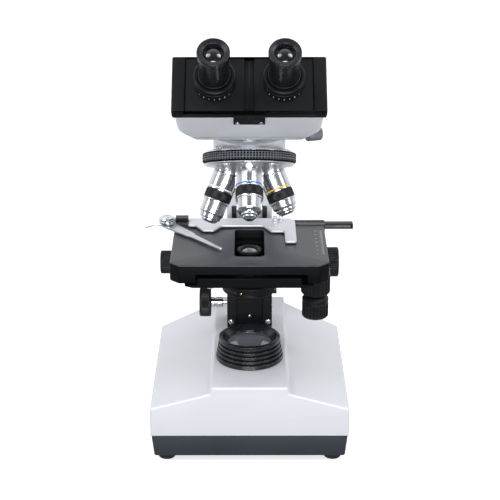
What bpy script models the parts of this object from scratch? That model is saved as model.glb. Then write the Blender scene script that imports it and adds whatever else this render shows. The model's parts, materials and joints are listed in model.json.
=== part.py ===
"""Binocular laboratory microscope, built as separate named pieces.

X runs to the user's right, Y from the user to the arm, Z up, in metres. Every place is first measured from
the optical axis, with the table at Z = 0; the empty "microscope" then centres the whole on its footprint.
"""

import math

import bmesh
import bpy
from mathutils import Matrix, Vector

MM = 0.001
GAP = 0.3 * MM            # left between pieces that touch
ROUND = 20                # sides of a turned piece

# Base
FOOT_RADIUS = 8.0 * MM
FOOT_HEIGHT = 5.4 * MM
FOOT_INSET = 14.0 * MM    # from the base's side and ends to a foot's centre
TRAY_HEIGHT = 21.0 * MM
TRAY_DRAFT = 2.5 * MM
BASE_WALL = 3.0 * MM
BASE_WIDTH = 180.0 * MM
BASE_FRONT = -66.0 * MM
BASE_BACK = 120.0 * MM
SIDE_HEIGHT = 28.0 * MM   # of the housing's upright side, above the tray
ROOF_RISE = 15.0 * MM     # from the side's top edge to the deck's foot, at the front
DECK_STEP = 6.3 * MM
DECK_HALF_WIDTH = 35.3 * MM
DECK_BEND = 80.0 * MM     # where the deck starts to climb towards the arm
DECK_CLIMB = 12.0 * MM

# Illuminator
LAMP_FLANGE_RADIUS = 31.5 * MM
LAMP_TOP_RADIUS = 28.6 * MM
LAMP_TOWER = 22.0 * MM    # above the deck
LAMP_SPIGOT_RADIUS = 24.0 * MM
LOCK_SCREW_CLEARANCE = 2.6 * MM
FIELD_LENS_RADIUS = 20.2 * MM

# Arm
ARM_WIDTH = 44.0 * MM
ARM_FRONT = 86.3 * MM
ARM_BACK = 119.0 * MM
HEAD_SEAT = 292.0 * MM    # top of the arm's round boss
BOSS_RADIUS = 32.0 * MM
ARM_OUTER_BEND = 60.0 * MM
ARM_INNER_BEND = 25.0 * MM
ARM_NECK = 34.0 * MM      # depth of the arm where it meets the boss
LIGHT_BORE = 11.0 * MM

# Focusing block
KNOB_AXIS_Y = 102.0 * MM
KNOB_AXIS_Z = 131.7 * MM
SLEEVE_RADIUS = 6.0 * MM
SHAFT_RADIUS = 3.0 * MM
COARSE_RADIUS = 19.0 * MM
COARSE_INNER = 27.0 * MM
COARSE_OUTER = 60.0 * MM
FINE_OUTER = 88.0 * MM
FINE_RADIUS_RIGHT = 14.7 * MM
FINE_RADIUS_LEFT = 11.5 * MM
RAIL_HALF_WIDTH = 17.0 * MM
RAIL_FRONT = 80.0 * MM
RAIL_DROP = 60.0 * MM      # from the underside of the arm's neck to the rail's top
CARRIAGE_HALF_WIDTH = 21.7 * MM
CARRIAGE_FRONT = 58.0 * MM
CARRIAGE_BOTTOM = 80.0 * MM
RECESS_HALF_WIDTH = 13.0 * MM
RECESS_DEPTH = 5.0 * MM

# Stage
STAGE_TOP = 190.3 * MM
STAGE_SLAB = 8.8 * MM
SKIRT_HEIGHT = 17.3 * MM
STAGE_HALF_WIDTH = 70.0 * MM
STAGE_FRONT = -58.0 * MM
STAGE_BACK = 46.0 * MM
SKIRT_INNER_LEFT = 47.0 * MM
SKIRT_INNER_RIGHT = 51.0 * MM
STAGE_CORNER = 8.0 * MM
APERTURE_HALF_WIDTH = 13.5 * MM
APERTURE_FRONT = -36.0 * MM
APERTURE_BACK = 35.0 * MM
LOWER_PLATE_HALF_WIDTH = 46.0 * MM
LOWER_FLANGE_HALF_WIDTH = 57.0 * MM
LOWER_FRONT = -56.0 * MM
LOWER_BACK = 79.5 * MM
CONDENSER_OPENING = 24.0 * MM
RACK_RIGHT_END = 97.7 * MM
RACK_LEFT_END = -60.0 * MM
RACK_FRONT = 48.8 * MM
RACK_BACK = 57.2 * MM
RACK_HEIGHT = 5.0 * MM
GUIDE_BACK = 59.2 * MM
GUIDE_RIGHT_END = 71.0 * MM
HOLDER_THICKNESS = 2.0 * MM
CONTROL_X = 61.5 * MM
CONTROL_Y = 15.0 * MM
Y_KNOB_RADIUS = 13.7 * MM
X_KNOB_RADIUS = 12.35 * MM
FINGER_PIVOT = Vector((-77.0, 43.0)) * MM
FINGER_TIP = Vector((-25.0, -24.0)) * MM
FINGER_TAIL = Vector((-97.0, 35.0)) * MM
BARREL_RADIUS = 7.75 * MM

# Condenser
CONDENSER_TOP = 184.0 * MM
CONDENSER_NOSE_RADIUS = 12.5 * MM
CONDENSER_NECK_RADIUS = 21.5 * MM
CONDENSER_RING_RADIUS = 25.0 * MM
CONDENSER_LENS_RADIUS = 7.0 * MM
CARRIER_BAR_HALF_WIDTH = 12.5 * MM
CONDENSER_KNOB_Y = 68.0 * MM
CONDENSER_KNOB_Z = 103.0 * MM
CONDENSER_KNOB_RADIUS = 14.0 * MM
CONDENSER_SHAFT_RADIUS = 1.85 * MM
IRIS_HEIGHT = 148.0 * MM
FILTER_RADIUS = 16.0 * MM

# Nosepiece: a cone of four directions round an axis that leans by NOSE_TILT
NOSE_TILT = math.radians(21.5)
NOSE_APEX = HEAD_SEAT + 16.1 * MM
MOUNT_START = 28.2 * MM   # distances along the nosepiece axis from the apex
TURRET_START = 32.4 * MM
RING_THICKNESS = 8.7 * MM
RING_RADIUS = 41.3 * MM
RING_INNER_RADIUS = 35.0 * MM
AXLE_RADIUS = 4.0 * MM
SHOULDER = 54.6 * MM      # from the apex to an objective's shoulder
SOCKET_RADIUS = 12.2 * MM
OBJECTIVE_RADIUS = 12.0 * MM
THREAD_RADIUS = 8.0 * MM

# Head: X, W (up the slope) and E (out of the slope, towards the eyes)
HEAD_SLOPE = math.radians(45.0)
HEAD_GAP = 4.0 * MM       # between the arm's boss and the housing
MOUNT_RING_RADIUS = 25.0 * MM
SPIGOT_RADIUS = 20.0 * MM
SLOPE_DROP = 292.0 * MM     # from the head seat down to the origin of the head's sloping frame
HOUSING_FRONT_W = 186.6 * MM
HOUSING_BACK_W = 239.0 * MM
HOUSING_TOP_E = 270.0 * MM
HOUSING_HALF_WIDTH = 63.0 * MM
HOUSING_LOW_HALF_WIDTH = 48.5 * MM
HOUSING_WALL = 2.5 * MM
BED_HALF_WIDTH = 65.0 * MM
BED_DEPTH = 12.2 * MM
PLATE_THICKNESS = 3.0 * MM
PLATE_TOP_E = 281.0 * MM
PLATE_INNER = 4.0 * MM
PLATE_OUTER = 53.7 * MM
EYE_HALF_SPACING = 29.0 * MM
EYE_W = 213.0 * MM
DIOPTER_WALL = 3.5 * MM
DIOPTER_LENGTH = 12.0 * MM
PLATE_BOSS_WALL = 2.0 * MM
PLATE_BOSS_HEIGHT = 1.5 * MM
TUBE_RADIUS = 14.0 * MM
TUBE_BORE = 11.75 * MM
EYEPIECE_CLEARANCE = 0.3 * MM
EYEPIECE_RIM_RADIUS = 13.6 * MM
EYEPIECE_TOP_E = 331.0 * MM

# Sizes that follow from the ones above
TRAY_BOTTOM = FOOT_HEIGHT + GAP
TRAY_TOP = TRAY_BOTTOM + TRAY_HEIGHT
HOUSING_BOTTOM = TRAY_TOP + GAP
SIDE_TOP = TRAY_TOP + SIDE_HEIGHT
DECK_TOP = SIDE_TOP + ROOF_RISE + DECK_STEP
HEAD_BOTTOM = HEAD_SEAT + HEAD_GAP
SKIRT_BOTTOM = STAGE_TOP - SKIRT_HEIGHT
SLAB_BOTTOM = STAGE_TOP - STAGE_SLAB
HOLDER_BOTTOM = STAGE_TOP + 1.3 * MM
CARRIAGE_TOP = SKIRT_BOTTOM - 5.0 * MM
RIM_REACH = EYEPIECE_RIM_RADIUS * math.sin(HEAD_SLOPE)
FRONT_END = (EYE_W - EYEPIECE_TOP_E) * math.sin(HEAD_SLOPE) - RIM_REACH
INLET_FLANGE = 2.0 * MM
DIAL_REACH = 6.0 * MM      # of the dial past the housing's back
BACK_END = BASE_BACK + DIAL_REACH

WHITE = ((0.84, 0.85, 0.88), 0.35, 0.0)
BLACK = ((0.02, 0.021, 0.025), 0.4, 0.0)
DARK_GREY = ((0.05, 0.055, 0.07), 0.5, 0.0)
STAGE_GREY = ((0.12, 0.125, 0.14), 0.45, 0.2)
CHROME = ((0.8, 0.81, 0.83), 0.12, 1.0)
SATIN = ((0.55, 0.56, 0.58), 0.35, 1.0)
RUBBER = ((0.02, 0.02, 0.02), 0.8, 0.0)
CERAMIC = ((0.75, 0.72, 0.65), 0.6, 0.0)
GLASS = ((0.8, 0.86, 0.9), 0.05, 0.0)
BLUE_GLASS = ((0.15, 0.3, 0.75), 0.05, 0.0)
BOARD_GREEN = ((0.03, 0.22, 0.1), 0.5, 0.0)


# ---------------------------------------------------------------- scene and placing

def clear_scene():
    for item in list(bpy.data.objects):
        bpy.data.objects.remove(item, do_unlink=True)


def make_collection(name):
    collection = bpy.data.collections.new(name)
    bpy.context.scene.collection.children.link(collection)
    return collection


def empty(name, parent=None, location=(0, 0, 0), rotation=(0, 0, 0)):
    """An unseen handle on a joint's axis that pieces hang from."""
    handle = bpy.data.objects.new(name, None)
    PARTS.objects.link(handle)
    handle.parent = parent
    handle.location = location
    handle.rotation_euler = rotation
    return handle


def material_for(name, look):
    colour, roughness, metallic = look
    material = bpy.data.materials.new(name)
    material.use_nodes = True
    shader = material.node_tree.nodes["Principled BSDF"]
    shader.inputs["Base Color"].default_value = (*colour, 1.0)
    shader.inputs["Roughness"].default_value = roughness
    shader.inputs["Metallic"].default_value = metallic
    return material


def add_piece(name, mesh, look, parent, location=(0, 0, 0)):
    """Put a mesh in the scene as one named piece, or as a cutter when it has no look."""
    piece = bpy.data.objects.new(name, mesh)
    if look is None:
        CUTTERS.objects.link(piece)
        piece.hide_render = True
        piece.display_type = "WIRE"
    else:
        PARTS.objects.link(piece)
        mesh.materials.append(material_for(name, look))
    piece.parent = parent
    piece.location = location
    return piece


# ---------------------------------------------------------------- shapes

def mesh_from(bm, name):
    mesh = bpy.data.meshes.new(name)
    bmesh.ops.recalc_face_normals(bm, faces=bm.faces)
    bm.to_mesh(mesh)
    bm.free()
    return mesh


def box(name, low, high, look, parent, bevel=0.0):
    """A block between two corners."""
    low, high = Vector(low), Vector(high)
    bm = bmesh.new()
    bmesh.ops.create_cube(bm, size=1.0)
    bmesh.ops.scale(bm, vec=high - low, verts=bm.verts)
    bmesh.ops.translate(bm, vec=(low + high) / 2, verts=bm.verts)
    piece = add_piece(name, mesh_from(bm, name), look, parent)
    if bevel:
        add_bevel(piece, bevel)
    return piece


def slab(name, outline, low, high, along, look, parent, bevel=0.0):
    """A flat outline given thickness along one axis: "X" takes (Y, Z) points, "Y" (X, Z) and "Z" (X, Y)."""
    turn = {
        "X": Matrix(((0, 0, 1), (1, 0, 0), (0, 1, 0))),
        "Y": Matrix(((1, 0, 0), (0, 0, -1), (0, 1, 0))),
        "Z": Matrix.Identity(3),
    }[along]
    curve = bpy.data.curves.new(name, "CURVE")
    curve.dimensions = "2D"
    curve.fill_mode = "BOTH"
    curve.extrude = (high - low) / 2
    spline = curve.splines.new("POLY")
    spline.points.add(len(outline) - 1)
    for point, (u, v) in zip(spline.points, outline):
        point.co = (u, v, 0, 1)
    spline.use_cyclic_u = True
    drawn = bpy.data.objects.new(name + "_outline", curve)
    bpy.context.scene.collection.objects.link(drawn)
    ready = drawn.evaluated_get(bpy.context.evaluated_depsgraph_get())
    flat = bpy.data.meshes.new_from_object(ready)
    bpy.data.objects.remove(drawn, do_unlink=True)
    middle = (low + high) / 2
    shift = {"X": (middle, 0, 0), "Y": (0, middle, 0), "Z": (0, 0, middle)}[along]
    flat.transform(Matrix.Translation(shift) @ turn.to_4x4())
    bm = bmesh.new()
    bm.from_mesh(flat)
    bmesh.ops.remove_doubles(bm, verts=bm.verts, dist=0.00001)
    bmesh.ops.dissolve_limit(bm, angle_limit=math.radians(1), verts=bm.verts, edges=bm.edges)
    bpy.data.meshes.remove(flat)
    piece = add_piece(name, mesh_from(bm, name), look, parent)
    if bevel:
        add_bevel(piece, bevel)
    return piece


def turned(name, profile, look, parent, location=(0, 0, 0), along="Z", sides=ROUND):
    """A turned piece. The profile lists (radius, height) down its outer side, and up inside a hollow one."""
    closed = min(profile[0][0], profile[-1][0]) > 0
    mesh = bpy.data.meshes.new(name)
    points = [(radius, 0, height) for radius, height in profile]
    edges = [(n, n + 1) for n in range(len(points) - 1)]
    if closed:
        edges.append((len(points) - 1, 0))
    mesh.from_pydata(points, edges, [])
    piece = add_piece(name, mesh, look, parent, location)
    if along == "X":
        piece.rotation_euler = (0, math.radians(90), 0)
    if along == "Y":
        piece.rotation_euler = (math.radians(-90), 0, 0)
    screw = piece.modifiers.new("turn", "SCREW")
    screw.steps = sides
    screw.render_steps = sides
    screw.use_merge_vertices = True
    screw.merge_threshold = 0.00001
    screw.use_smooth_shade = True
    return piece


def rod(name, radius, low, high, look, parent, location=(0, 0, 0), along="Z", sides=ROUND):
    """A plain round bar from low to high along its axis."""
    profile = [(0, high), (radius, high), (radius, low), (0, low)]
    return turned(name, profile, look, parent, location, along, sides)


def add_bevel(piece, width, segments=1):
    bevel = piece.modifiers.new("bevel", "BEVEL")
    bevel.width = width
    bevel.segments = segments
    bevel.limit_method = "ANGLE"
    bevel.angle_limit = math.radians(40)


def cut(piece, *cutters):
    for cutter in cutters:
        boolean(piece, cutter, "DIFFERENCE")


def join(piece, *others):
    """Union pieces that were made without a look, so that they stay out of the build themselves."""
    for other in others:
        boolean(piece, other, "UNION")


def boolean(piece, other, operation):
    modifier = piece.modifiers.new(other.name, "BOOLEAN")
    modifier.operation = operation
    modifier.object = other


def arc(centre, radius, start, end, steps):
    """Points round part of a circle, angles in degrees."""
    points = []
    for step in range(steps + 1):
        angle = math.radians(start + (end - start) * step / steps)
        points.append((centre[0] + radius * math.cos(angle), centre[1] + radius * math.sin(angle)))
    return points


def loft(name, loops, look, parent):
    """A skin over matching loops of points, closed at both ends."""
    bm = bmesh.new()
    rings = [[bm.verts.new(point) for point in loop] for loop in loops]
    count = len(rings[0])
    for first, second in zip(rings, rings[1:]):
        for n in range(count):
            after = (n + 1) % count
            bm.faces.new((first[n], first[after], second[after], second[n]))
    bm.faces.new(rings[0])
    bm.faces.new(rings[-1])
    return add_piece(name, mesh_from(bm, name), look, parent)


# ---------------------------------------------------------------- base

def deck_height(y):
    """Top of the raised deck: level under the lamp, then climbing to the arm."""
    share = max(0.0, (y - DECK_BEND) / (BASE_BACK - DECK_BEND))
    return DECK_TOP + DECK_CLIMB * share


def housing_loop(y, inset, bottom):
    """The housing's cross-section at one depth, drawn in from its outside by inset."""
    side = BASE_WIDTH / 2 - inset
    deck = DECK_HALF_WIDTH - inset
    top = deck_height(y) - inset
    foot = top - DECK_STEP
    half = [(side, bottom), (side, SIDE_TOP - inset), (deck, foot), (deck, top)]
    mirrored = [(-x, z) for x, z in reversed(half)]
    return [(x, y, z) for x, z in half + mirrored]


def make_base(stand):
    """Tray, housing and feet."""
    half = BASE_WIDTH / 2

    def tray_loop(height, inset):
        share = (height - TRAY_BOTTOM) / TRAY_HEIGHT
        draft = TRAY_DRAFT * (1 - share) + inset
        x = half - draft
        front, back = BASE_FRONT + draft, BASE_BACK - draft
        return [(-x, front, height), (x, front, height), (x, back, height), (-x, back, height)]

    tray = loft("base_tray", [tray_loop(TRAY_BOTTOM, 0), tray_loop(TRAY_TOP, 0)], DARK_GREY, stand)
    add_bevel(tray, 1.2 * MM)
    floor = TRAY_BOTTOM + BASE_WALL
    levels = [tray_loop(floor, BASE_WALL), tray_loop(TRAY_TOP + MM, BASE_WALL)]
    hollow = loft("tray_hollow", levels, None, stand)
    cut(tray, hollow)

    stations = (BASE_FRONT, DECK_BEND, BASE_BACK)
    loops = [housing_loop(y, 0, HOUSING_BOTTOM) for y in stations]
    housing = loft("base_housing", loops, WHITE, stand)
    add_bevel(housing, 1.5 * MM)
    inner_stations = (BASE_FRONT + BASE_WALL, DECK_BEND, BASE_BACK - BASE_WALL)
    inner = [housing_loop(y, BASE_WALL, HOUSING_BOTTOM - MM) for y in inner_stations]
    cut(housing, loft("housing_hollow", inner, None, stand))
    cut(housing, rod("lamp_hole", LAMP_SPIGOT_RADIUS + GAP, DECK_TOP - 9 * MM, DECK_TOP + MM, None,
                     stand))

    for side, x in (("left", -half + FOOT_INSET), ("right", half - FOOT_INSET)):
        for end, y in (("front", BASE_FRONT + FOOT_INSET), ("rear", BASE_BACK - FOOT_INSET)):
            top = FOOT_RADIUS + 1.0 * MM
            profile = [(0, FOOT_HEIGHT), (top, FOOT_HEIGHT), (FOOT_RADIUS, 1.0 * MM)]
            profile += [(FOOT_RADIUS - 1.0 * MM, 0), (0, 0)]
            turned(f"{end}_{side}_foot", profile, RUBBER, stand, (x, y, 0), sides=20)
    return housing


def make_electrics(stand, housing):
    """Lamp, board, inlet, switch and dial."""
    floor = TRAY_BOTTOM + BASE_WALL + GAP
    socket_top = floor + 33 * MM
    box("lamp_socket", (-9 * MM, -7 * MM, floor), (9 * MM, 7 * MM, socket_top), CERAMIC, stand, 1.0 * MM)
    start = socket_top + GAP
    bulb = [(0, start + 22 * MM), (2.5 * MM, start + 21 * MM), (4.5 * MM, start + 17 * MM)]
    bulb += [(4.5 * MM, start + 5 * MM), (3.5 * MM, start), (0, start)]
    turned("lamp_bulb", bulb, GLASS, stand, sides=16)

    board_low = floor + 3 * MM
    board = box("power_board", (10 * MM, 45 * MM, board_low), (75 * MM, 105 * MM, board_low + 1.6 * MM),
                BOARD_GREEN, stand)
    block = box("board_transformer", (20 * MM, 60 * MM, board_low + MM),
                (52 * MM, 95 * MM, board_low + 28 * MM),
                None, stand)
    join(board, block)

    inlet_x, inlet_z = -40 * MM, HOUSING_BOTTOM + 17 * MM
    half_x, half_z = 13.5 * MM, 10.0 * MM
    face = BASE_BACK + GAP
    flange = INLET_FLANGE
    body = box("power_inlet", (inlet_x - half_x - 3 * MM, face, inlet_z - half_z - 3 * MM),
               (inlet_x + half_x + 3 * MM, face + flange, inlet_z + half_z + 3 * MM), BLACK, stand)
    shell = box("inlet_shell", (inlet_x - half_x, face - 18 * MM, inlet_z - half_z),
                (inlet_x + half_x, face + MM, inlet_z + half_z), None, stand)
    join(body, shell)
    mouth = box("inlet_mouth", (inlet_x - 11.5 * MM, face - 15 * MM, inlet_z - 8 * MM),
                (inlet_x + 11.5 * MM, face + flange + MM, inlet_z + 8 * MM), None, stand)
    cut(body, mouth)
    for n, (dx, dz) in enumerate(((-7, -2), (0, 2), (7, -2))):
        x, z = inlet_x + dx * MM, inlet_z + dz * MM
        blade = box(f"inlet_blade_{n}", (x - MM, face - 16 * MM, z - 2 * MM),
                    (x + MM, face - 5 * MM, z + 2 * MM),
                    None, stand)
        join(body, blade)
    clear = GAP
    window = box("inlet_window", (inlet_x - half_x - clear, BASE_BACK - 6 * MM, inlet_z - half_z - clear),
                 (inlet_x + half_x + clear, BASE_BACK + MM, inlet_z + half_z + clear), None, stand)

    switch_x, switch_z = 22 * MM, inlet_z
    hinge = empty("switch_axis", stand, (switch_x, BASE_BACK - 3 * MM, switch_z))
    box("power_switch", (-9 * MM, -5 * MM, -6 * MM), (9 * MM, 4.5 * MM, 6 * MM), BLACK, hinge, 0.8 * MM)
    switch_hole = box("switch_window", (switch_x - 9.8 * MM, BASE_BACK - 6 * MM, switch_z - 7.4 * MM),
                      (switch_x + 9.8 * MM, BASE_BACK + MM, switch_z + 7.4 * MM), None, stand)

    dial_axis = empty("dial_axis", stand, (58 * MM, BASE_BACK, inlet_z))
    profile = [(0, DIAL_REACH), (8.5 * MM, DIAL_REACH), (9.5 * MM, DIAL_REACH - MM), (10 * MM, GAP),
               (3 * MM, GAP)]
    profile += [(3 * MM, -7 * MM), (0, -7 * MM)]
    turned("brightness_dial", profile, BLACK, dial_axis, along="Y")
    dial_hole = rod("dial_hole", 3.3 * MM, -6 * MM, MM, None, dial_axis, along="Y")
    cut(housing, window, switch_hole, dial_hole)


def make_lamp_house(stand):
    """The ribbed tower over the lamp, with its field lens."""
    base = DECK_TOP + GAP
    top = DECK_TOP + LAMP_TOWER
    flange, crown = LAMP_FLANGE_RADIUS, LAMP_TOP_RADIUS
    outer = [(crown - 1.5 * MM, top), (crown, top - 1.0 * MM), (crown, top - 4 * MM)]
    ribs = 4
    for n in range(ribs):
        height = top - 4 * MM - n * 4.2 * MM
        radius = crown + (flange - crown) * (n + 1) / ribs
        outer += [(radius - 2.2 * MM, height - 0.6 * MM), (radius, height - 1.8 * MM),
                  (radius, height - 4.0 * MM)]
    outer += [(flange, base), (LAMP_SPIGOT_RADIUS, base), (LAMP_SPIGOT_RADIUS, base - 8 * MM)]
    lens = FIELD_LENS_RADIUS
    seat = top - 8 * MM
    inner = [(lens - 3 * MM, base - 8 * MM), (lens - 3 * MM, seat), (lens + GAP, seat)]
    inner += [(lens + GAP, seat + 4 * MM), (crown - 3.6 * MM, top)]
    turned("lamp_house", outer + inner, BLACK, stand)
    low = seat + GAP
    dome = [(0, low + 4.5 * MM), (lens * 0.5, low + 4.0 * MM), (lens * 0.85, low + 3.2 * MM),
            (lens, low + 2.4 * MM)]
    turned("field_lens", dome + [(lens, low), (0, low)], GLASS, stand)


# ---------------------------------------------------------------- arm and focusing block

def make_arm(stand, nose):
    """The C-shaped arm with the round boss that carries the nosepiece and the head."""
    top = HEAD_SEAT - 2 * MM
    neck = HEAD_SEAT - ARM_NECK
    outer, inner = ARM_OUTER_BEND, ARM_INNER_BEND
    outline = [(ARM_FRONT, deck_height(ARM_FRONT) + GAP), (ARM_BACK, deck_height(ARM_BACK) + GAP)]
    outline += arc((ARM_BACK - outer, top - outer), outer, 0, 90, 10)
    outline += [(0, top), (0, neck + 14 * MM)]
    outline += arc((ARM_FRONT - inner, neck - inner), inner, 90, 0, 6)
    arm = slab("arm", outline, -ARM_WIDTH / 2, ARM_WIDTH / 2, "X", WHITE, stand, 3.0 * MM)
    boss = rod("arm_boss", BOSS_RADIUS, neck + 5 * MM, HEAD_SEAT, None, stand, sides=32)
    join(arm, boss)
    pocket = rod("turret_pocket", RING_RADIUS + 4 * MM, -MOUNT_START - 60 * MM, -MOUNT_START + GAP, None,
                 nose,
                 sides=28)
    light = rod("arm_light_bore", LIGHT_BORE, neck - 10 * MM, HEAD_SEAT + MM, None, stand)
    seat = rod("head_seat", SPIGOT_RADIUS + GAP, HEAD_SEAT - 5.3 * MM, HEAD_SEAT + MM, None, stand)
    shaft = rod("sleeve_bore", SLEEVE_RADIUS + GAP, -ARM_WIDTH, ARM_WIDTH, None, stand,
                (0, KNOB_AXIS_Y, KNOB_AXIS_Z), "X")
    cut(arm, pocket, light, seat, shaft)
    return arm


def make_lock_screw(stand, arm):
    """The thumb screw that holds the turned head, behind the right side of the boss."""
    angle = math.radians(19)
    holder = empty("lock_screw_axis", stand, (0, 0, HEAD_SEAT - 5 * MM), (0, math.radians(90), angle))
    start = SPIGOT_RADIUS + LOCK_SCREW_CLEARANCE
    profile = [(0, 68 * MM), (5.5 * MM, 68 * MM), (6.5 * MM, 67 * MM), (6.5 * MM, 54 * MM),
               (2 * MM, 54 * MM)]
    turned("head_lock_screw", profile + [(2 * MM, start), (0, start)], SATIN, holder)
    bore = rod("lock_screw_bore", 2 * MM + GAP, start - 3 * MM, BOSS_RADIUS + MM, None, holder, sides=16)
    cut(arm, bore)


def make_focus_knobs(stand):
    """Coarse knobs on a sleeve through the arm, fine knobs on a shaft through the sleeve."""
    axis = empty("focus_knob_axis", stand, (0, KNOB_AXIS_Y, KNOB_AXIS_Z))
    bore = SHAFT_RADIUS + GAP
    inner, outer = COARSE_INNER, COARSE_OUTER
    sleeve_end = inner + 12 * MM
    left = [(SLEEVE_RADIUS, sleeve_end), (SLEEVE_RADIUS, -inner), (COARSE_RADIUS - MM, -inner)]
    left += [(COARSE_RADIUS, -inner - MM), (COARSE_RADIUS, -outer + 2 * MM),
             (COARSE_RADIUS - 2 * MM, -outer)]
    left += [(bore, -outer), (bore, sleeve_end)]
    turned("left_coarse_knob", left, BLACK, axis, along="X")
    fit = SLEEVE_RADIUS + GAP
    right = [(COARSE_RADIUS - 2 * MM, outer), (COARSE_RADIUS, outer - 2 * MM),
             (COARSE_RADIUS, inner + MM)]
    right += [(COARSE_RADIUS - MM, inner), (fit, inner), (fit, sleeve_end + GAP),
              (bore, sleeve_end + GAP)]
    right += [(bore, outer)]
    turned("right_coarse_knob", right, BLACK, axis, along="X")
    start = outer + MM
    radius = FINE_RADIUS_LEFT
    fine = [(0, start), (SHAFT_RADIUS, start), (SHAFT_RADIUS, -start), (radius - MM, -start)]
    fine += [(radius, -start - MM), (radius, -FINE_OUTER + MM), (radius - MM, -FINE_OUTER),
             (0, -FINE_OUTER)]
    turned("left_fine_knob", fine, BLACK, axis, along="X")
    radius = FINE_RADIUS_RIGHT
    start += GAP
    fine = [(0, FINE_OUTER), (radius - MM, FINE_OUTER), (radius, FINE_OUTER - MM), (radius, start + MM)]
    turned("right_fine_knob", fine + [(radius - MM, start), (0, start)], BLACK, axis, along="X")


def make_focusing_block(stand, carriage_handle):
    """The fixed rail on the arm and the carriage that climbs it with the stage."""
    foot = deck_height(RAIL_FRONT) + 6 * MM
    rail = box("focus_rail", (-RAIL_HALF_WIDTH, RAIL_FRONT, foot),
               (RAIL_HALF_WIDTH, ARM_FRONT - GAP, HEAD_SEAT - ARM_NECK - RAIL_DROP),
               BLACK, stand, 0.8 * MM)
    front, back = CARRIAGE_FRONT, RAIL_FRONT - GAP
    wide, deep = CARRIAGE_HALF_WIDTH, front + RECESS_DEPTH
    narrow = RECESS_HALF_WIDTH
    outline = [(-wide, back), (-wide, front), (-narrow, front), (-narrow, deep), (narrow, deep),
               (narrow, front)]
    outline += [(wide, front), (wide, back)]
    carriage = slab("focus_carriage", outline, CARRIAGE_BOTTOM, CARRIAGE_TOP - GAP, "Z", BLACK,
                    carriage_handle)
    bore = rod("condenser_shaft_bore", CONDENSER_SHAFT_RADIUS + GAP, -wide - MM, 0, None, carriage_handle,
               (0, CONDENSER_KNOB_Y, CONDENSER_KNOB_Z), "X", 16)
    cut(carriage, bore)


# ---------------------------------------------------------------- stage

def make_lower_plate(handle):
    """The fixed layer of the stage, stepped so that the top layer's skirts hang beside it."""
    flange, plate = LOWER_FLANGE_HALF_WIDTH, LOWER_PLATE_HALF_WIDTH
    low = CARRIAGE_TOP
    step = SKIRT_BOTTOM - 2 * MM
    half = [(flange - 7 * MM, low), (flange, step - 1.2 * MM), (flange, step), (plate, step)]
    half += [(plate, SLAB_BOTTOM - GAP)]
    outline = half + [(-x, z) for x, z in reversed(half)]
    plate_piece = slab("stage_lower_plate", outline, LOWER_FRONT, LOWER_BACK, "Y", BLACK, handle)
    slot = box("front_slot", (-plate - MM, LOWER_FRONT - MM, SLAB_BOTTOM - 4.5 * MM),
               (plate + MM, LOWER_FRONT + 26 * MM, SLAB_BOTTOM + MM), None, handle)
    opening = rod("condenser_opening", CONDENSER_OPENING, low - MM, SLAB_BOTTOM + MM, None, handle)
    cut(plate_piece, slot, opening)


def make_top_plate(handle):
    """The sliding layer with its skirts and its long aperture."""
    wide = STAGE_HALF_WIDTH
    left, right = SKIRT_INNER_LEFT, SKIRT_INNER_RIGHT
    outline = [(-wide, STAGE_TOP), (-wide, SKIRT_BOTTOM), (-left, SKIRT_BOTTOM), (-left, SLAB_BOTTOM)]
    outline += [(right, SLAB_BOTTOM), (right, SKIRT_BOTTOM), (wide, SKIRT_BOTTOM), (wide, STAGE_TOP)]
    plate = slab("stage_top_plate", outline, STAGE_FRONT, STAGE_BACK, "Y", STAGE_GREY, handle)
    corner = STAGE_CORNER
    for name, side in (("left", -1), ("right", 1)):
        edge = side * wide
        triangle = [(edge - side * corner, STAGE_FRONT - MM), (edge + side * MM, STAGE_FRONT - MM),
                    (edge + side * MM, STAGE_FRONT + corner)]
        cut(plate, slab(f"{name}_corner_cut", triangle, SKIRT_BOTTOM - MM, STAGE_TOP + MM, "Z", None,
                        handle))
    fillet = 4 * MM
    half = APERTURE_HALF_WIDTH
    hole = []
    for x, y, start in ((half, APERTURE_BACK, 0), (-half, APERTURE_BACK, 90),
                        (-half, APERTURE_FRONT, 180),
                        (half, APERTURE_FRONT, 270)):
        centre = (x - math.copysign(fillet, x), y - math.copysign(fillet, y))
        hole += arc(centre, fillet, start, start + 90, 3)
    cut(plate, slab("aperture", hole, SLAB_BOTTOM - MM, STAGE_TOP + MM, "Z", None, handle))


def make_x_guide(handle):
    """The band behind the plate, with a channel for the rack bar and a slot for its rib."""
    low, high = SLAB_BOTTOM, STAGE_TOP + 1.0 * MM
    front, back = STAGE_BACK + GAP, GUIDE_BACK
    bar_top = high - 1.0 * MM
    bar_low = bar_top - RACK_HEIGHT
    middle = (RACK_FRONT + RACK_BACK) / 2
    rib = 2 * MM
    outline = [(front, low), (back, low), (back, high), (middle + rib, high), (middle + rib, bar_top)]
    outline += [(RACK_BACK + GAP, bar_top), (RACK_BACK + GAP, bar_low - GAP),
                (RACK_FRONT - GAP, bar_low - GAP)]
    outline += [(RACK_FRONT - GAP, bar_top), (middle - rib, bar_top), (middle - rib, high), (front, high)]
    slab("stage_x_guide", outline, -STAGE_HALF_WIDTH, GUIDE_RIGHT_END, "X", BLACK, handle)
    return bar_low, bar_top, middle


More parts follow.
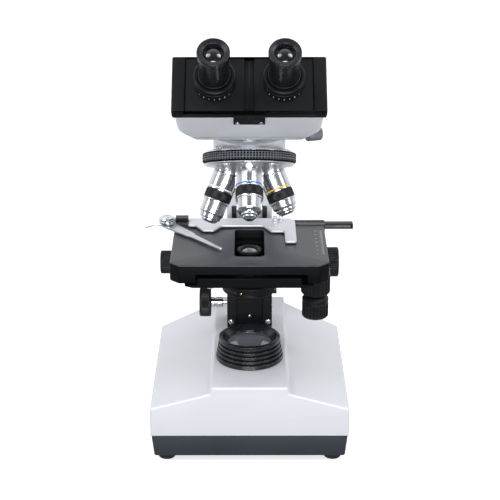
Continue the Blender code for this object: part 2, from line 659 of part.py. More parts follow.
def make_controls(handle, y_handle, x_handle):
    """The two coaxial knobs under the right side of the plate, on their column."""
    top = SKIRT_BOTTOM - GAP
    shaft = 2.5 * MM
    y_top, y_low = SKIRT_BOTTOM - 13 * MM, SKIRT_BOTTOM - 39 * MM
    x_top, x_low = y_low - 1.8 * MM, y_low - 22.8 * MM
    post = CONTROL_X - LOWER_FLANGE_HALF_WIDTH - GAP
    column = [(0, top), (post, top), (post, y_top + GAP), (shaft, y_top + GAP), (shaft, x_low + 4 * MM)]
    turned("stage_control_column", column + [(0, x_low + 4 * MM)], BLACK, handle,
           (CONTROL_X, CONTROL_Y, 0))
    bore = shaft + GAP
    radius = Y_KNOB_RADIUS
    knob = [(bore, y_top), (radius - MM, y_top), (radius, y_top - MM), (radius, y_low + 3 * MM)]
    knob += [(radius - 2.2 * MM, y_low), (bore, y_low)]
    turned("stage_y_knob", knob, BLACK, y_handle)
    radius = X_KNOB_RADIUS
    knob = [(bore, x_top), (radius - 2.5 * MM, x_top), (radius, x_top - 2 * MM), (radius, x_low + MM)]
    knob += [(radius - MM, x_low), (0, x_low), (0, x_low + 3.5 * MM), (bore, x_low + 3.5 * MM)]
    turned("stage_x_knob", knob, BLACK, x_handle)


def make_slide_holder(handle, finger_handle, bar_low, bar_top, rib_y):
    """Rack bar, holder with its fixed finger, spring barrel and sprung finger."""
    bar = box("x_rack_bar", (RACK_LEFT_END, RACK_FRONT, bar_low),
              (RACK_RIGHT_END, RACK_BACK, bar_top - GAP),
              BLACK, handle)
    rib = box("rack_rib", (-50 * MM, rib_y - 1.7 * MM, bar_low + MM),
              (38 * MM, rib_y + 1.7 * MM, HOLDER_BOTTOM - GAP),
              None, handle)
    join(bar, rib)
    low, high = HOLDER_BOTTOM, HOLDER_BOTTOM + HOLDER_THICKNESS
    outline = [(-57, 57), (-57, 38), (-50, 38), (-43, 24), (-33, 24), (-26, 37), (13, 37), (20, 22),
               (32.4, 22)]
    outline += [(32.4, -6), (42.8, -6), (42.8, 50), (38, 57)]
    outline = [(x * MM, y * MM) for x, y in outline]
    slab("slide_holder", outline, low, high, "Z", SATIN, handle)

    barrel_low = low + 2.2 * MM
    barrel_top = barrel_low + 6.0 * MM
    radius = BARREL_RADIUS
    profile = [(0, barrel_top), (radius - 1.5 * MM, barrel_top), (radius, barrel_top - 1.5 * MM),
               (radius, barrel_low)]
    barrel = turned("spring_barrel", profile + [(0, barrel_low)], CHROME, handle, (*FINGER_PIVOT, 0))
    finger_top = low + 1.6 * MM
    block = box("barrel_block", (-71 * MM, 45.5 * MM, finger_top + GAP),
                (-57 * MM - GAP, 56.5 * MM, low + 6 * MM),
                None, handle)
    join(barrel, block)

    reach = FINGER_TIP - FINGER_PIVOT
    length = reach.length
    tail = FINGER_TAIL - FINGER_PIVOT
    root = 7.0 * MM
    tip = 1.6 * MM
    ahead = reach.normalized()
    aside = Vector((-ahead.y, ahead.x))
    spine = [(0.0, root), (0.45, 4.6 * MM), (0.52, 3.6 * MM), (1.0, tip)]
    right = [ahead * length * share + aside * half for share, half in spine]
    left = [ahead * length * share - aside * half for share, half in reversed(spine)]
    back = [tail * 0.35 - aside * 1.0 * MM, tail - aside * 0.5 * MM, tail + aside * 0.5 * MM]
    outline = [tuple(point) for point in right + left + back]
    slab("slide_finger", outline, low - 0.3 * MM, finger_top, "Z", SATIN, finger_handle)


# ---------------------------------------------------------------- condenser

def make_condenser(handle, iris_handle, filter_handle, filter_x):
    """Body with a hollow for the iris, its top lens, the carrier that slides in the carriage, lever and filter."""
    top = CONDENSER_TOP
    nose, neck, ring = CONDENSER_NOSE_RADIUS, CONDENSER_NECK_RADIUS, CONDENSER_RING_RADIUS
    ring_top, ring_low = top - 30 * MM, top - 39 * MM
    cavity = ring - 5 * MM
    lens = CONDENSER_LENS_RADIUS
    seat = top - 4 * MM
    outer = [(nose - 1.5 * MM, top), (nose, top - MM), (nose, top - 8 * MM), (neck, top - 19 * MM),
             (neck, ring_top)]
    outer += [(ring - 0.5 * MM, ring_top), (ring, ring_top - 0.5 * MM), (ring, ring_low)]
    inner = [(cavity, ring_low), (cavity, ring_top - MM), (lens - 1.5 * MM, ring_top + 12 * MM),
             (lens - 1.5 * MM, seat)]
    inner += [(lens + GAP, seat), (lens + GAP, top)]
    body = turned("condenser_body", outer + inner, BLACK, handle)
    window = [(0, 0)] + arc((0, 0), ring + 3 * MM, 135, 225, 6)
    cut(body, slab("iris_window", window, IRIS_HEIGHT - 1.0 * MM, IRIS_HEIGHT + 3.4 * MM, "Z", None,
                   handle))
    glass = [(0, top + 0.2 * MM), (lens * 0.6, top - 0.2 * MM), (lens, top - 1.4 * MM),
             (lens, seat + GAP)]
    turned("condenser_lens", glass + [(0, seat + GAP)], GLASS, handle)

    half = CARRIER_BAR_HALF_WIDTH
    bar_back = CARRIAGE_FRONT + RECESS_DEPTH - GAP
    low = ring_top + GAP + MM
    bar = box("condenser_carrier", (-half, CARRIAGE_FRONT - 3 * MM, top - 72 * MM),
              (half, bar_back, low + 8 * MM),
              BLACK, handle)
    collar = rod("carrier_collar", neck + 4 * MM, low, low + 8 * MM, None, handle)
    bridge = box("carrier_bridge", (-half, neck, low), (half, CARRIAGE_FRONT, low + 8 * MM), None, handle)
    join(bar, bridge, collar)
    cut(bar, rod("collar_bore", neck + GAP, low - MM, low + 9 * MM, None, handle))

    lever_low = IRIS_HEIGHT
    thick = 2.4 * MM
    plate = turned("iris_lever", [(cavity - GAP, thick), (cavity - GAP, 0), (10 * MM, 0),
                                  (10 * MM, thick)],
                   CHROME, iris_handle, (0, 0, lever_low))
    stick = box("lever_stick", (-38 * MM, -1.6 * MM, lever_low + 0.3 * MM),
                (-cavity + 2 * MM, 1.6 * MM, lever_low + 2.1 * MM), None, iris_handle)
    tip = rod("lever_tip", 2.2 * MM, -39.5 * MM, -33 * MM, None, iris_handle,
              (0, 0, lever_low + 1.2 * MM), "X", 12)
    join(plate, stick, tip)

    filter_top = ring_low - GAP - 0.6 * MM
    thin = 3.0 * MM
    rim = FILTER_RADIUS + 3.5 * MM
    holder = turned("filter_holder", [(rim, filter_top), (rim, filter_top - thin),
                                      (FILTER_RADIUS - MM, filter_top - thin),
                                      (FILTER_RADIUS - MM, filter_top - 2.2 * MM),
                                      (FILTER_RADIUS + GAP, filter_top - 2.2 * MM),
                                      (FILTER_RADIUS + GAP, filter_top)], BLACK, filter_handle,
                                      (-filter_x, 0, 0))
    lug = box("filter_lug", (rim - 1.5 * MM - filter_x, -3 * MM, filter_top - thin),
              (2.5 * MM, 3 * MM, filter_top), None, filter_handle)
    join(holder, lug)
    glass_low = filter_top - 2.2 * MM + GAP
    rod("blue_filter", FILTER_RADIUS, glass_low, filter_top - GAP, BLUE_GLASS, filter_handle,
        (-filter_x, 0, 0))


def make_condenser_knob(handle):
    """Black disc on a chrome sleeve and a thin shaft that enters the carriage."""
    radius = CONDENSER_KNOB_RADIUS
    shaft = CONDENSER_SHAFT_RADIUS
    disc_out, disc_in, sleeve_in = 48.6 * MM, 37.5 * MM, 26 * MM
    end = CARRIAGE_HALF_WIDTH - 12 * MM
    profile = [(0, -end), (shaft, -end), (shaft, -sleeve_in), (4.8 * MM, -sleeve_in),
               (4.8 * MM, -disc_in)]
    profile += [(radius - 0.7 * MM, -disc_in), (radius, -disc_in - 0.7 * MM),
                (radius, -disc_out + 0.7 * MM)]
    profile += [(radius - 0.7 * MM, -disc_out), (0, -disc_out)]
    turned("condenser_knob", profile, BLACK, handle, along="X")


# ---------------------------------------------------------------- nosepiece

def make_nosepiece(nose, turret):
    """Fixed mount with its axle, then the turret with its knurled ring and four sockets."""
    start, face = -MOUNT_START, -TURRET_START + GAP
    axle = AXLE_RADIUS
    depth = -TURRET_START - 14 * MM
    profile = [(0, start), (30 * MM, start), (36 * MM, start - 1.4 * MM), (38 * MM, start - 3 * MM),
               (38 * MM, face)]
    mount = turned("nosepiece_mount", profile + [(axle, face), (axle, depth), (0, depth)], CHROME, nose,
                   sides=28)
    light = rod("mount_light_bore", 6 * MM, -60 * MM, MM, None, nose)
    light.rotation_euler = (NOSE_TILT, 0, 0)
    cut(mount, light)

    start = -TURRET_START
    low = start - RING_THICKNESS
    rim, inner = RING_RADIUS, RING_INNER_RADIUS
    turned("turret_ring", [(rim - 0.8 * MM, start), (rim, start - 0.8 * MM), (rim, low + 0.8 * MM),
                           (rim - 0.8 * MM, low), (inner, low), (inner, start)], BLACK, turret, sides=32)
    bore = axle + GAP
    sine, cosine = math.sin(NOSE_TILT), math.cos(NOSE_TILT)
    seat_radius, seat_depth = SHOULDER * sine, SHOULDER * cosine

    def on_cone(radius):
        """Depth of the conical face at a radius: it lies square to the objectives."""
        return -(seat_depth - 1.2 * MM) + (radius - seat_radius) * sine / cosine

    hub = inner - GAP
    profile = [(hub, start), (hub, low - GAP), (38.5 * MM, low - GAP), (38.5 * MM, low - 1.5 * MM)]
    profile += [(33 * MM, on_cone(33 * MM)), (8 * MM, on_cone(8 * MM)), (bore, on_cone(8 * MM)),
                (bore, start)]
    body = turned("turret_body", profile, CHROME, turret, sides=28)
    for n in range(4):
        socket = empty(f"socket_axis_{n}", turret, rotation=(0, 0, math.radians(90 * n)))
        aim = empty(f"socket_aim_{n}", socket, rotation=(NOSE_TILT, 0, 0))
        join(body, rod(f"socket_boss_{n}", SOCKET_RADIUS, -SHOULDER + GAP, -SHOULDER + 6 * MM, None, aim,
                       sides=16))
        cut(body, rod(f"socket_bore_{n}", THREAD_RADIUS + GAP, -SHOULDER - MM, -SHOULDER + 4.3 * MM,
                      None, aim, sides=16))
        cut(body, rod(f"socket_light_{n}", 5.5 * MM, -SHOULDER - MM, -20 * MM, None, aim, sides=12))


def make_objective(name, turret, place, length, nose_length, nose_radius, sprung):
    """An objective hanging from its shoulder; its nose is a piece of its own when it is sprung."""
    spin = empty(f"{name}_place", turret, rotation=(0, 0, math.radians(90 * place)))
    aim = empty(f"{name}_axis", spin, rotation=(NOSE_TILT, 0, 0))
    top = -SHOULDER
    wide, thread = OBJECTIVE_RADIUS, THREAD_RADIUS
    band = top - min(16 * MM, length * 0.45)
    band_low = band - 8.3 * MM
    slim = wide - 1.1 * MM
    low = top - length + nose_length
    tip = top - length
    outer = [(thread, top + 4 * MM), (thread, top), (wide - 0.4 * MM, top), (wide, top - 0.4 * MM),
             (wide, band_low)]
    outer += [(slim, band_low - MM), (slim, low + 1.5 * MM), (slim - 1.5 * MM, low)]
    light = 2.0 * MM
    if sprung:
        pocket = nose_radius + GAP
        inner = [(pocket, low), (pocket, low + 8 * MM), (light, low + 8 * MM), (light, top + 4 * MM)]
        turned(name, outer + inner, CHROME, aim)
        nose = [(nose_radius, low + 4.5 * MM), (nose_radius, low - 0.35 * nose_length)]
        nose += [(nose_radius * 0.62, tip + 0.25 * nose_length), (nose_radius * 0.5, tip),
                 (1.2 * MM, tip)]
        turned(f"{name}_nose", nose + [(1.2 * MM, low + 4.5 * MM)], CHROME, aim)
    else:
        outer += [(nose_radius, low), (nose_radius, low - 0.4 * nose_length), (nose_radius * 0.75, tip)]
        inner = [(light, tip), (light, top + 4 * MM)]
        turned(name, outer + inner, CHROME, aim)


# ---------------------------------------------------------------- head

def make_head(head, slope):
    """Mount ring, housing, prism and slider bed. Pieces under "slope" are built in X, W and E."""
    low, high = HEAD_SEAT + GAP, HEAD_BOTTOM - GAP
    ring = [(MOUNT_RING_RADIUS, high), (MOUNT_RING_RADIUS, low), (SPIGOT_RADIUS, low),
            (SPIGOT_RADIUS, low - 5 * MM)]
    ring += [(LIGHT_BORE, low - 5 * MM), (LIGHT_BORE, high)]
    turned("head_mount_ring", ring, SATIN, head, sides=24)

    def outline(inset, top):
        wide, narrow = HOUSING_HALF_WIDTH - inset, HOUSING_LOW_HALF_WIDTH - inset
        half = [(wide, top), (wide - 1.5 * MM, HOUSING_TOP_E - 23 * MM),
                (narrow, HOUSING_TOP_E - 38 * MM)]
        half += [(narrow, HOUSING_TOP_E - 95 * MM)]
        return half + [(-x, e) for x, e in reversed(half)]

    wall = HOUSING_WALL
    housing = slab("head_housing", outline(0, HOUSING_TOP_E), HOUSING_FRONT_W, HOUSING_BACK_W, "Y",
                   WHITE, slope)
    reach = 200 * MM
    under = box("head_under", (-reach, -reach, 0), (reach, reach, HEAD_BOTTOM), None, head)
    hollow = slab("head_hollow", outline(wall, HOUSING_TOP_E + MM), HOUSING_FRONT_W + wall,
                  HOUSING_BACK_W - wall, "Y",
                  None, slope)
    cut(hollow, box("head_floor", (-reach, -reach, 0), (reach, reach, HEAD_BOTTOM + wall), None, head))
    cut(housing, under, hollow)
    cut(housing, rod("head_light_bore", LIGHT_BORE, HEAD_BOTTOM - MM, HEAD_BOTTOM + wall + MM, None,
                     head))

    prism_low = HEAD_BOTTOM + wall + GAP
    wedge = [(-10 * MM, prism_low), (14 * MM, prism_low), (-10 * MM, prism_low + 24 * MM)]
    slab("head_prism", wedge, -11 * MM, 11 * MM, "X", GLASS, head)

    bed_low = HOUSING_TOP_E + GAP
    bed_top = bed_low + BED_DEPTH
    lip = PLATE_TOP_E + GAP
    floor = PLATE_TOP_E - PLATE_THICKNESS - GAP
    wide = BED_HALF_WIDTH
    half = [(wide, bed_low), (wide, bed_top), (PLATE_OUTER + GAP, bed_top), (PLATE_OUTER + GAP, lip)]
    half += [(wide - 1.7 * MM, lip), (wide - 1.7 * MM, floor)]
    section = half + [(-x, e) for x, e in reversed(half)]
    bed = slab("slider_bed", section, HOUSING_FRONT_W, HOUSING_BACK_W, "Y", BLACK, slope)
    for side in (-1, 1):
        near, far = sorted((side * 14 * MM, side * 49 * MM))
        hole = box(f"bed_window_{side + 1}", (near, EYE_W - 10 * MM, bed_low - MM),
                   (far, EYE_W + 10 * MM, lip),
                   None, slope)
        cut(bed, hole)


def make_eye_side(name, side, slide_handle, ring_handle, tube_handle, eyepiece_handle):
    """Slider plate, diopter ring, tube and eyepiece of one eye; handles lie on the eyepiece's axis."""
    inner = side * (PLATE_INNER - EYE_HALF_SPACING)
    outer = side * (PLATE_OUTER - EYE_HALF_SPACING)
    near, far = sorted((inner, outer))
    low_w, high_w = HOUSING_FRONT_W - EYE_W, HOUSING_BACK_W - EYE_W
    plate = box(f"{name}_slider_plate", (near, low_w, PLATE_TOP_E - PLATE_THICKNESS),
                (far, high_w, PLATE_TOP_E),
                BLACK, slide_handle)
    boss_top = PLATE_TOP_E + PLATE_BOSS_HEIGHT
    join(plate, rod(f"{name}_plate_boss", TUBE_RADIUS + PLATE_BOSS_WALL, PLATE_TOP_E - MM, boss_top, None,
                    slide_handle))
    cut(plate, rod(f"{name}_plate_hole", 10 * MM, PLATE_TOP_E - 9 * MM, boss_top + MM, None,
                   slide_handle))
    low = boss_top + GAP
    top = low + DIOPTER_LENGTH
    tube, bore = TUBE_RADIUS, TUBE_BORE
    fit = tube + GAP
    radius = tube + DIOPTER_WALL
    ring = [(radius - MM, top), (radius, top - MM), (radius, low + 0.6 * MM), (radius - 0.6 * MM, low),
            (fit, low)]
    turned(f"{name}_diopter_ring", ring + [(fit, top)], BLACK, ring_handle, sides=24)
    tube_low, tube_top = low + 2.8 * MM, top + 1.5 * MM
    barrel = [(tube, tube_top), (tube, tube_low), (bore, tube_low), (bore, tube_top)]
    turned(f"{name}_ocular_tube", barrel, BLACK, tube_handle)
    slim = bore - EYEPIECE_CLEARANCE
    face, rim = EYEPIECE_TOP_E, EYEPIECE_RIM_RADIUS
    start = tube_top + GAP
    outer_side = [(rim - 0.8 * MM, face), (rim, face - MM), (rim, face - 9 * MM),
                  (rim - 1.2 * MM, face - 10 * MM)]
    outer_side += [(12 * MM, start + 3 * MM), (12 * MM, start), (slim, start), (slim, start - 9 * MM)]
    light = 8.5 * MM
    inner_side = [(light, start - 9 * MM), (light, face - 6 * MM), (0, face - 6 * MM)]
    lens = [(0, face - 3.4 * MM), (light, face - 3.6 * MM), (10 * MM, face - 1.2 * MM)]
    profile = lens + outer_side + inner_side
    turned(f"{name}_eyepiece", profile, BLACK, eyepiece_handle)


# ---------------------------------------------------------------- assembly

def main():
    root = empty("microscope", location=(0, -(FRONT_END + BACK_END) / 2, 0))
    nose = empty("nosepiece_axis", root, (0, 0, NOSE_APEX), (-NOSE_TILT, 0, 0))
    turret = empty("turret_axis", nose)
    focus = empty("focus_slide", root)
    condenser = empty("condenser_slide", focus)
    iris = empty("iris_axis", condenser)
    filter_x = 22.5 * MM
    filter_axis = empty("filter_axis", condenser, (filter_x, 0, 0))
    condenser_knob = empty("condenser_knob_axis", focus, (0, CONDENSER_KNOB_Y, CONDENSER_KNOB_Z))
    stage_y = empty("stage_y_slide", focus)
    y_knob = empty("y_knob_axis", stage_y, (CONTROL_X, CONTROL_Y, 0))
    x_knob = empty("x_knob_axis", stage_y, (CONTROL_X, CONTROL_Y, 0))
    stage_x = empty("stage_x_slide", stage_y)
    finger = empty("finger_axis", stage_x, (*FINGER_PIVOT, 0))
    head = empty("head_axis", root)
    slope = empty("head_slope", head, (0, 0, HEAD_SEAT - SLOPE_DROP), (HEAD_SLOPE, 0, 0))

    housing = make_base(root)
    make_electrics(root, housing)
    make_lamp_house(root)
    arm = make_arm(root, nose)
    make_lock_screw(root, arm)
    make_focus_knobs(root)
    make_focusing_block(root, focus)
    make_lower_plate(focus)
    make_top_plate(stage_y)
    bar_low, bar_top, rib_y = make_x_guide(stage_y)
    make_controls(stage_y, y_knob, x_knob)
    make_slide_holder(stage_x, finger, bar_low, bar_top, rib_y)
    make_condenser(condenser, iris, filter_axis, filter_x)
    make_condenser_knob(condenser_knob)
    make_nosepiece(nose, turret)
    make_objective("objective_4x", turret, 0, 28.0 * MM, 4 * MM, 8.0 * MM, False)
    make_objective("objective_100x", turret, 1, 44.8 * MM, 6 * MM, 7.0 * MM, True)
    make_objective("objective_40x", turret, 2, 44.4 * MM, 6 * MM, 7.0 * MM, True)
    make_objective("objective_10x", turret, 3, 37.7 * MM, 5 * MM, 7.5 * MM, False)
    make_head(head, slope)
    for name, side in (("left", -1), ("right", 1)):
        slide = empty(f"{name}_eye_slide", slope, (side * EYE_HALF_SPACING, EYE_W, 0))
        ring = empty(f"{name}_diopter_axis", slide)
        tube = empty(f"{name}_tube_slide", slide)
        eyepiece = empty(f"{name}_eyepiece_axis", tube)
        make_eye_side(name, side, slide, ring, tube, eyepiece)


clear_scene()
PARTS = make_collection("binocular_microscope")
CUTTERS = make_collection("cutters")
main()
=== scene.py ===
import json
import math

import bmesh
import bpy
import numpy as np
from bpy.props import FloatProperty, FloatVectorProperty, IntProperty, PointerProperty
from mathutils import Matrix, Vector


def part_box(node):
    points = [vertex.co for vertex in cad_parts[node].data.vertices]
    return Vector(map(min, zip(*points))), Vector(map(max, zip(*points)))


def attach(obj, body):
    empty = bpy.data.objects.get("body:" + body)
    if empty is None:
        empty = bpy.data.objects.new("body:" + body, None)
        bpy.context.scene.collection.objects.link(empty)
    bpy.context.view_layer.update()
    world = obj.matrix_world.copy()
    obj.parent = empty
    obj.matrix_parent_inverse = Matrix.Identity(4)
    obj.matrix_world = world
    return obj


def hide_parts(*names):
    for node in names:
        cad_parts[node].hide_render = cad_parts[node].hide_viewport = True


bl_info = {
    "name": "Binocular Microscope",
    "version": (1, 0, 0),
    "blender": (4, 5, 0),
    "location": "3D View > Sidebar > Microscope",
    "description": "Builds the finished surfaces of a binocular laboratory microscope round its frame",
    "category": "Add Mesh",
}

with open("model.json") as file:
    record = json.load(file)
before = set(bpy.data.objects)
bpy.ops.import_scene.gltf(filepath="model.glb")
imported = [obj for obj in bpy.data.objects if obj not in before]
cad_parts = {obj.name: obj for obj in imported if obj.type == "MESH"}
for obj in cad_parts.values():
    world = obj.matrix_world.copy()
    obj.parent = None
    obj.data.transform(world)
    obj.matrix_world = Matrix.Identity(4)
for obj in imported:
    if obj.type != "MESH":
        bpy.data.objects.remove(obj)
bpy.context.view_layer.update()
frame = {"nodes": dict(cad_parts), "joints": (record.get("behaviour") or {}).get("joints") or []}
JOINTS = {joint["name"]: joint for joint in frame["joints"]}
MM = 0.001
AXIS = Vector((0.0, JOINTS["turret_turn"]["pos_m"][1], 0.0))      # foot of the optical axis, on the table
APEX = JOINTS["turret_turn"]["pos_m"][2]
SLOPE = math.radians(45.0)                                         # of the head's face
LEAN = math.radians(21.5)                                          # of the turret's axis
CAMERA_OFFSET = Vector((0.0005, -1.193, 0.6336))                   # from the foot of the optical axis
CAMERA_DOWN = math.radians(20.7)
CAMERA_ROLL = math.radians(-0.05)


# ---------------------------------------------------------------- settings

class MicroscopeSizes(bpy.types.PropertyGroup):
    """Sizes that a user may change, all inside the frame's pieces."""
    edge: FloatProperty(name="Cast edge", description="Rounding of the cast housings", default=0.003,
                        unit="LENGTH")
    machined_edge: FloatProperty(name="Machined edge", description="Rounding of milled plates",
                                 default=0.0006,
                                 unit="LENGTH")
    turned_edge: FloatProperty(name="Turned edge", description="Rounding of turned corners", default=0.0004,
                               unit="LENGTH")
    round_steps: IntProperty(name="Round steps", description="Sides of a turned surface", default=96)
    ring_teeth: IntProperty(name="Ring knurl", description="Squares round the nosepiece ring", default=96)
    knob_flutes: IntProperty(name="Knob flutes", description="Flutes round a stage knob", default=26)
    lamp_ribs: IntProperty(name="Lamp ribs", description="Ribs on the illuminator", default=4)
    light: FloatProperty(name="Light", description="Strength of the studio lights", default=1.0)


class MicroscopeColours(bpy.types.PropertyGroup):
    """Colours of the finishes, linear."""
    enamel: FloatVectorProperty(name="Enamel", description="White paint", subtype="COLOR",
                                default=(0.75, 0.775, 0.815))
    tray: FloatVectorProperty(name="Tray", description="Tray paint", subtype="COLOR",
                              default=(0.038, 0.044, 0.058))
    satin_black: FloatVectorProperty(name="Satin black", description="Black paint", subtype="COLOR",
                                     default=(0.0065, 0.0072, 0.009))
    moulded: FloatVectorProperty(name="Moulded black", description="Black plastic", subtype="COLOR",
                                 default=(0.0085, 0.0093, 0.0115))
    stage: FloatVectorProperty(name="Stage", description="Stage coating", subtype="COLOR",
                               default=(0.042, 0.0455, 0.055))
    chrome: FloatVectorProperty(name="Chrome", description="Plated metal", subtype="COLOR",
                                default=(0.74, 0.76, 0.8))
    nickel: FloatVectorProperty(name="Satin nickel", description="Brushed metal", subtype="COLOR",
                                default=(0.62, 0.63, 0.66))


def sizes():
    return bpy.context.scene.microscope_sizes


def colours():
    return bpy.context.scene.microscope_colours


# ---------------------------------------------------------------- finishes

FINISHES = {}


def finish(name, colour, roughness, metallic=0.0, grain=900.0, bump=0.05, spread=0.06, shade=0.08,
           stretch=(1.0, 1.0, 1.0), coat=0.0, level=0.5, transmission=0.0, ior=1.5):
    """A finish whose fine grain gives bump and roughness, and whose slow clouds shift its colour slightly."""
    if name in FINISHES:
        return FINISHES[name]
    material = bpy.data.materials.new(name)
    material.use_nodes = True
    tree = material.node_tree
    shader = tree.nodes["Principled BSDF"]
    shader.inputs["Metallic"].default_value = metallic
    shader.inputs["Coat Weight"].default_value = coat
    shader.inputs["Coat Roughness"].default_value = 0.12
    shader.inputs["Specular IOR Level"].default_value = level
    shader.inputs["Transmission Weight"].default_value = transmission
    shader.inputs["IOR"].default_value = ior
    place = tree.nodes.new("ShaderNodeTexCoord")
    scale = tree.nodes.new("ShaderNodeMapping")
    scale.inputs["Scale"].default_value = stretch
    tree.links.new(place.outputs["Object"], scale.inputs["Vector"])
    fine = tree.nodes.new("ShaderNodeTexNoise")
    fine.inputs["Scale"].default_value = grain
    fine.inputs["Detail"].default_value = 5.0
    slow = tree.nodes.new("ShaderNodeTexNoise")
    slow.inputs["Scale"].default_value = 22.0
    slow.inputs["Detail"].default_value = 3.0
    for noise in (fine, slow):
        tree.links.new(scale.outputs["Vector"], noise.inputs["Vector"])
    rough = tree.nodes.new("ShaderNodeMapRange")
    rough.inputs["To Min"].default_value = max(0.02, roughness - spread)
    rough.inputs["To Max"].default_value = min(1.0, roughness + spread)
    both = tree.nodes.new("ShaderNodeMath")
    both.operation = "MULTIPLY_ADD"
    both.inputs[1].default_value = 0.5
    tree.links.new(fine.outputs["Fac"], both.inputs[0])
    half = tree.nodes.new("ShaderNodeMath")
    half.operation = "MULTIPLY"
    half.inputs[1].default_value = 0.5
    tree.links.new(slow.outputs["Fac"], half.inputs[0])
    tree.links.new(half.outputs[0], both.inputs[2])
    tree.links.new(both.outputs[0], rough.inputs["Value"])
    tree.links.new(rough.outputs["Result"], shader.inputs["Roughness"])
    tint = tree.nodes.new("ShaderNodeValToRGB")
    tint.color_ramp.elements[0].position = 0.3
    tint.color_ramp.elements[1].position = 0.7
    tint.color_ramp.elements[0].color = (*[c * (1 - shade) for c in colour], 1)
    tint.color_ramp.elements[1].color = (*[min(1.0, c * (1 + shade)) for c in colour], 1)
    tree.links.new(slow.outputs["Fac"], tint.inputs["Fac"])
    tree.links.new(tint.outputs["Color"], shader.inputs["Base Color"])
    if bump:
        relief = tree.nodes.new("ShaderNodeBump")
        relief.inputs["Strength"].default_value = bump
        relief.inputs["Distance"].default_value = 0.0004
        tree.links.new(fine.outputs["Fac"], relief.inputs["Height"])
        tree.links.new(relief.outputs["Normal"], shader.inputs["Normal"])
    FINISHES[name] = material
    return material


def enamel():
    return finish("white_enamel", colours().enamel, 0.32, grain=420, bump=0.06, spread=0.05, shade=0.012,
                  coat=0.25)


def tray_paint():
    return finish("tray_paint", colours().tray, 0.5, grain=1600, bump=0.28, spread=0.1, shade=0.08)


def satin_black():
    return finish("satin_black", colours().satin_black, 0.36, grain=1500, bump=0.12, spread=0.08, shade=0.15,
                  level=0.28)


def crackle_black():
    return finish("crackle_black", colours().satin_black, 0.5, grain=1900, bump=0.3, spread=0.1, shade=0.2,
                  level=0.2)


def barrel_black():
    """Glossier black of the eyepieces and the lamp tower."""
    return finish("barrel_black", (0.0095, 0.0105, 0.0135), 0.27, grain=1300, bump=0.06, spread=0.06,
                  shade=0.12,
                  level=0.6)


def edge_black():
    """Dull black of the stage's upright faces."""
    return finish("edge_black", (0.0035, 0.004, 0.0052), 0.55, grain=1900, bump=0.2, spread=0.1, shade=0.2,
                  level=0.1)


def moulded_black():
    return finish("moulded_black", colours().moulded, 0.42, grain=2200, bump=0.16, spread=0.08, shade=0.15,
                  level=0.25)


def stage_coating():
    return finish("stage_coating", colours().stage, 0.38, grain=2600, bump=0.16, spread=0.07, shade=0.06)


def chrome():
    return finish("chrome", colours().chrome, 0.22, metallic=1.0, grain=700, bump=0.005, spread=0.02,
                  shade=0.03,
                  stretch=(1, 1, 6))


def satin_chrome():
    """Blasted plating of the turret cone."""
    return finish("satin_chrome", (0.86, 0.875, 0.9), 0.36, metallic=1.0, grain=1500, bump=0.05, spread=0.06,
                  shade=0.03)


def satin_nickel():
    return finish("satin_nickel", colours().nickel, 0.34, metallic=1.0, grain=1100, bump=0.05, spread=0.08,
                  shade=0.05, stretch=(0.3, 2.2, 2.2))


def holder_steel():
    """Matt plated steel of the slide holder."""
    return finish("holder_steel", (0.72, 0.74, 0.78), 0.42, metallic=0.55, grain=1400, bump=0.05, spread=0.06,
                  shade=0.04, stretch=(0.3, 2.2, 2.2))


def rubber():
    return finish("rubber", (0.014, 0.014, 0.015), 0.75, grain=2400, bump=0.35, spread=0.1, shade=0.2)


def clear_glass():
    return finish("clear_glass", (0.93, 0.96, 0.98), 0.04, grain=200, bump=0.0, spread=0.02, shade=0.01,
                  transmission=1.0, ior=1.52)


def dark_glass():
    """A coated eye lens over a dark barrel."""
    return finish("dark_glass", (0.004, 0.004, 0.006), 0.05, grain=200, bump=0.0, spread=0.02, shade=0.3,
                  coat=1.0,
                  level=0.9)


# Opaque grey under a clear coat, used for the lamp's field lens. On the condenser lens the same grey is a
# painted reflection in place of clear glass.
def lamp_glass_and_painted_reflection():
    return finish("lamp_glass_and_painted_reflection", (0.2, 0.21, 0.24), 0.1, grain=300, bump=0.02, spread=0.04, shade=0.1,
                  coat=1.0,
                  level=0.6)


def band(name, colour):
    return finish(name, colour, 0.38, grain=1500, bump=0.05, spread=0.05, shade=0.05)


def white_mark():
    return band("white_mark", (0.5, 0.51, 0.53))


def ring_mark():
    """Brighter paint of the diopter marks."""
    return band("ring_mark", (0.9, 0.91, 0.93))


def zinc_grey():
    return finish("zinc_grey", (0.2, 0.21, 0.24), 0.42, metallic=0.5, grain=1500, bump=0.06, spread=0.06,
                  shade=0.05)


def brass():
    return finish("brass", (0.62, 0.4, 0.12), 0.25, metallic=1.0, grain=1200, bump=0.04, spread=0.06,
                  shade=0.08)


# ---------------------------------------------------------------- surfaces

def place_at(point, toward=(0, 0, 1), side=None):
    """A 4x4 placing that puts local Z along toward and local X near side, at a point in metres."""
    z = Vector(toward).normalized()
    x = Vector(side) if side else (Vector((1, 0, 0)) if abs(z.x) < 0.9 else Vector((0, 1, 0)))
    x = (x - z * x.dot(z)).normalized()
    y = z.cross(x)
    turn = Matrix((x, y, z)).transposed().to_4x4()
    return np.array(Matrix.Translation(Vector(point)) @ turn)


def upright(x=0.0, y=0.0, z=0.0):
    """A place beside the optical axis, in millimetres."""
    return place_at(AXIS + Vector((x, y, z)) * MM)


def along_x(y, z):
    """Local X is Y, local Y is Z and local Z is X: for outlines and turned pieces that run across."""
    return place_at(AXIS + Vector((0, y, z)) * MM, (1, 0, 0), (0, 1, 0))


def sloped(x=0.0):
    """Local X is X, local Y runs up the head's slope and local Z out of it, towards the eyes."""
    return place_at(AXIS + Vector((x, 0, 0)) * MM, (0, -math.sin(SLOPE), math.cos(SLOPE)), (1, 0, 0))


def corners(node):
    """A node's lowest and highest corner in millimetres, measured from the optical axis."""
    low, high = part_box(node)
    return (Vector(low) - AXIS) / MM, (Vector(high) - AXIS) / MM


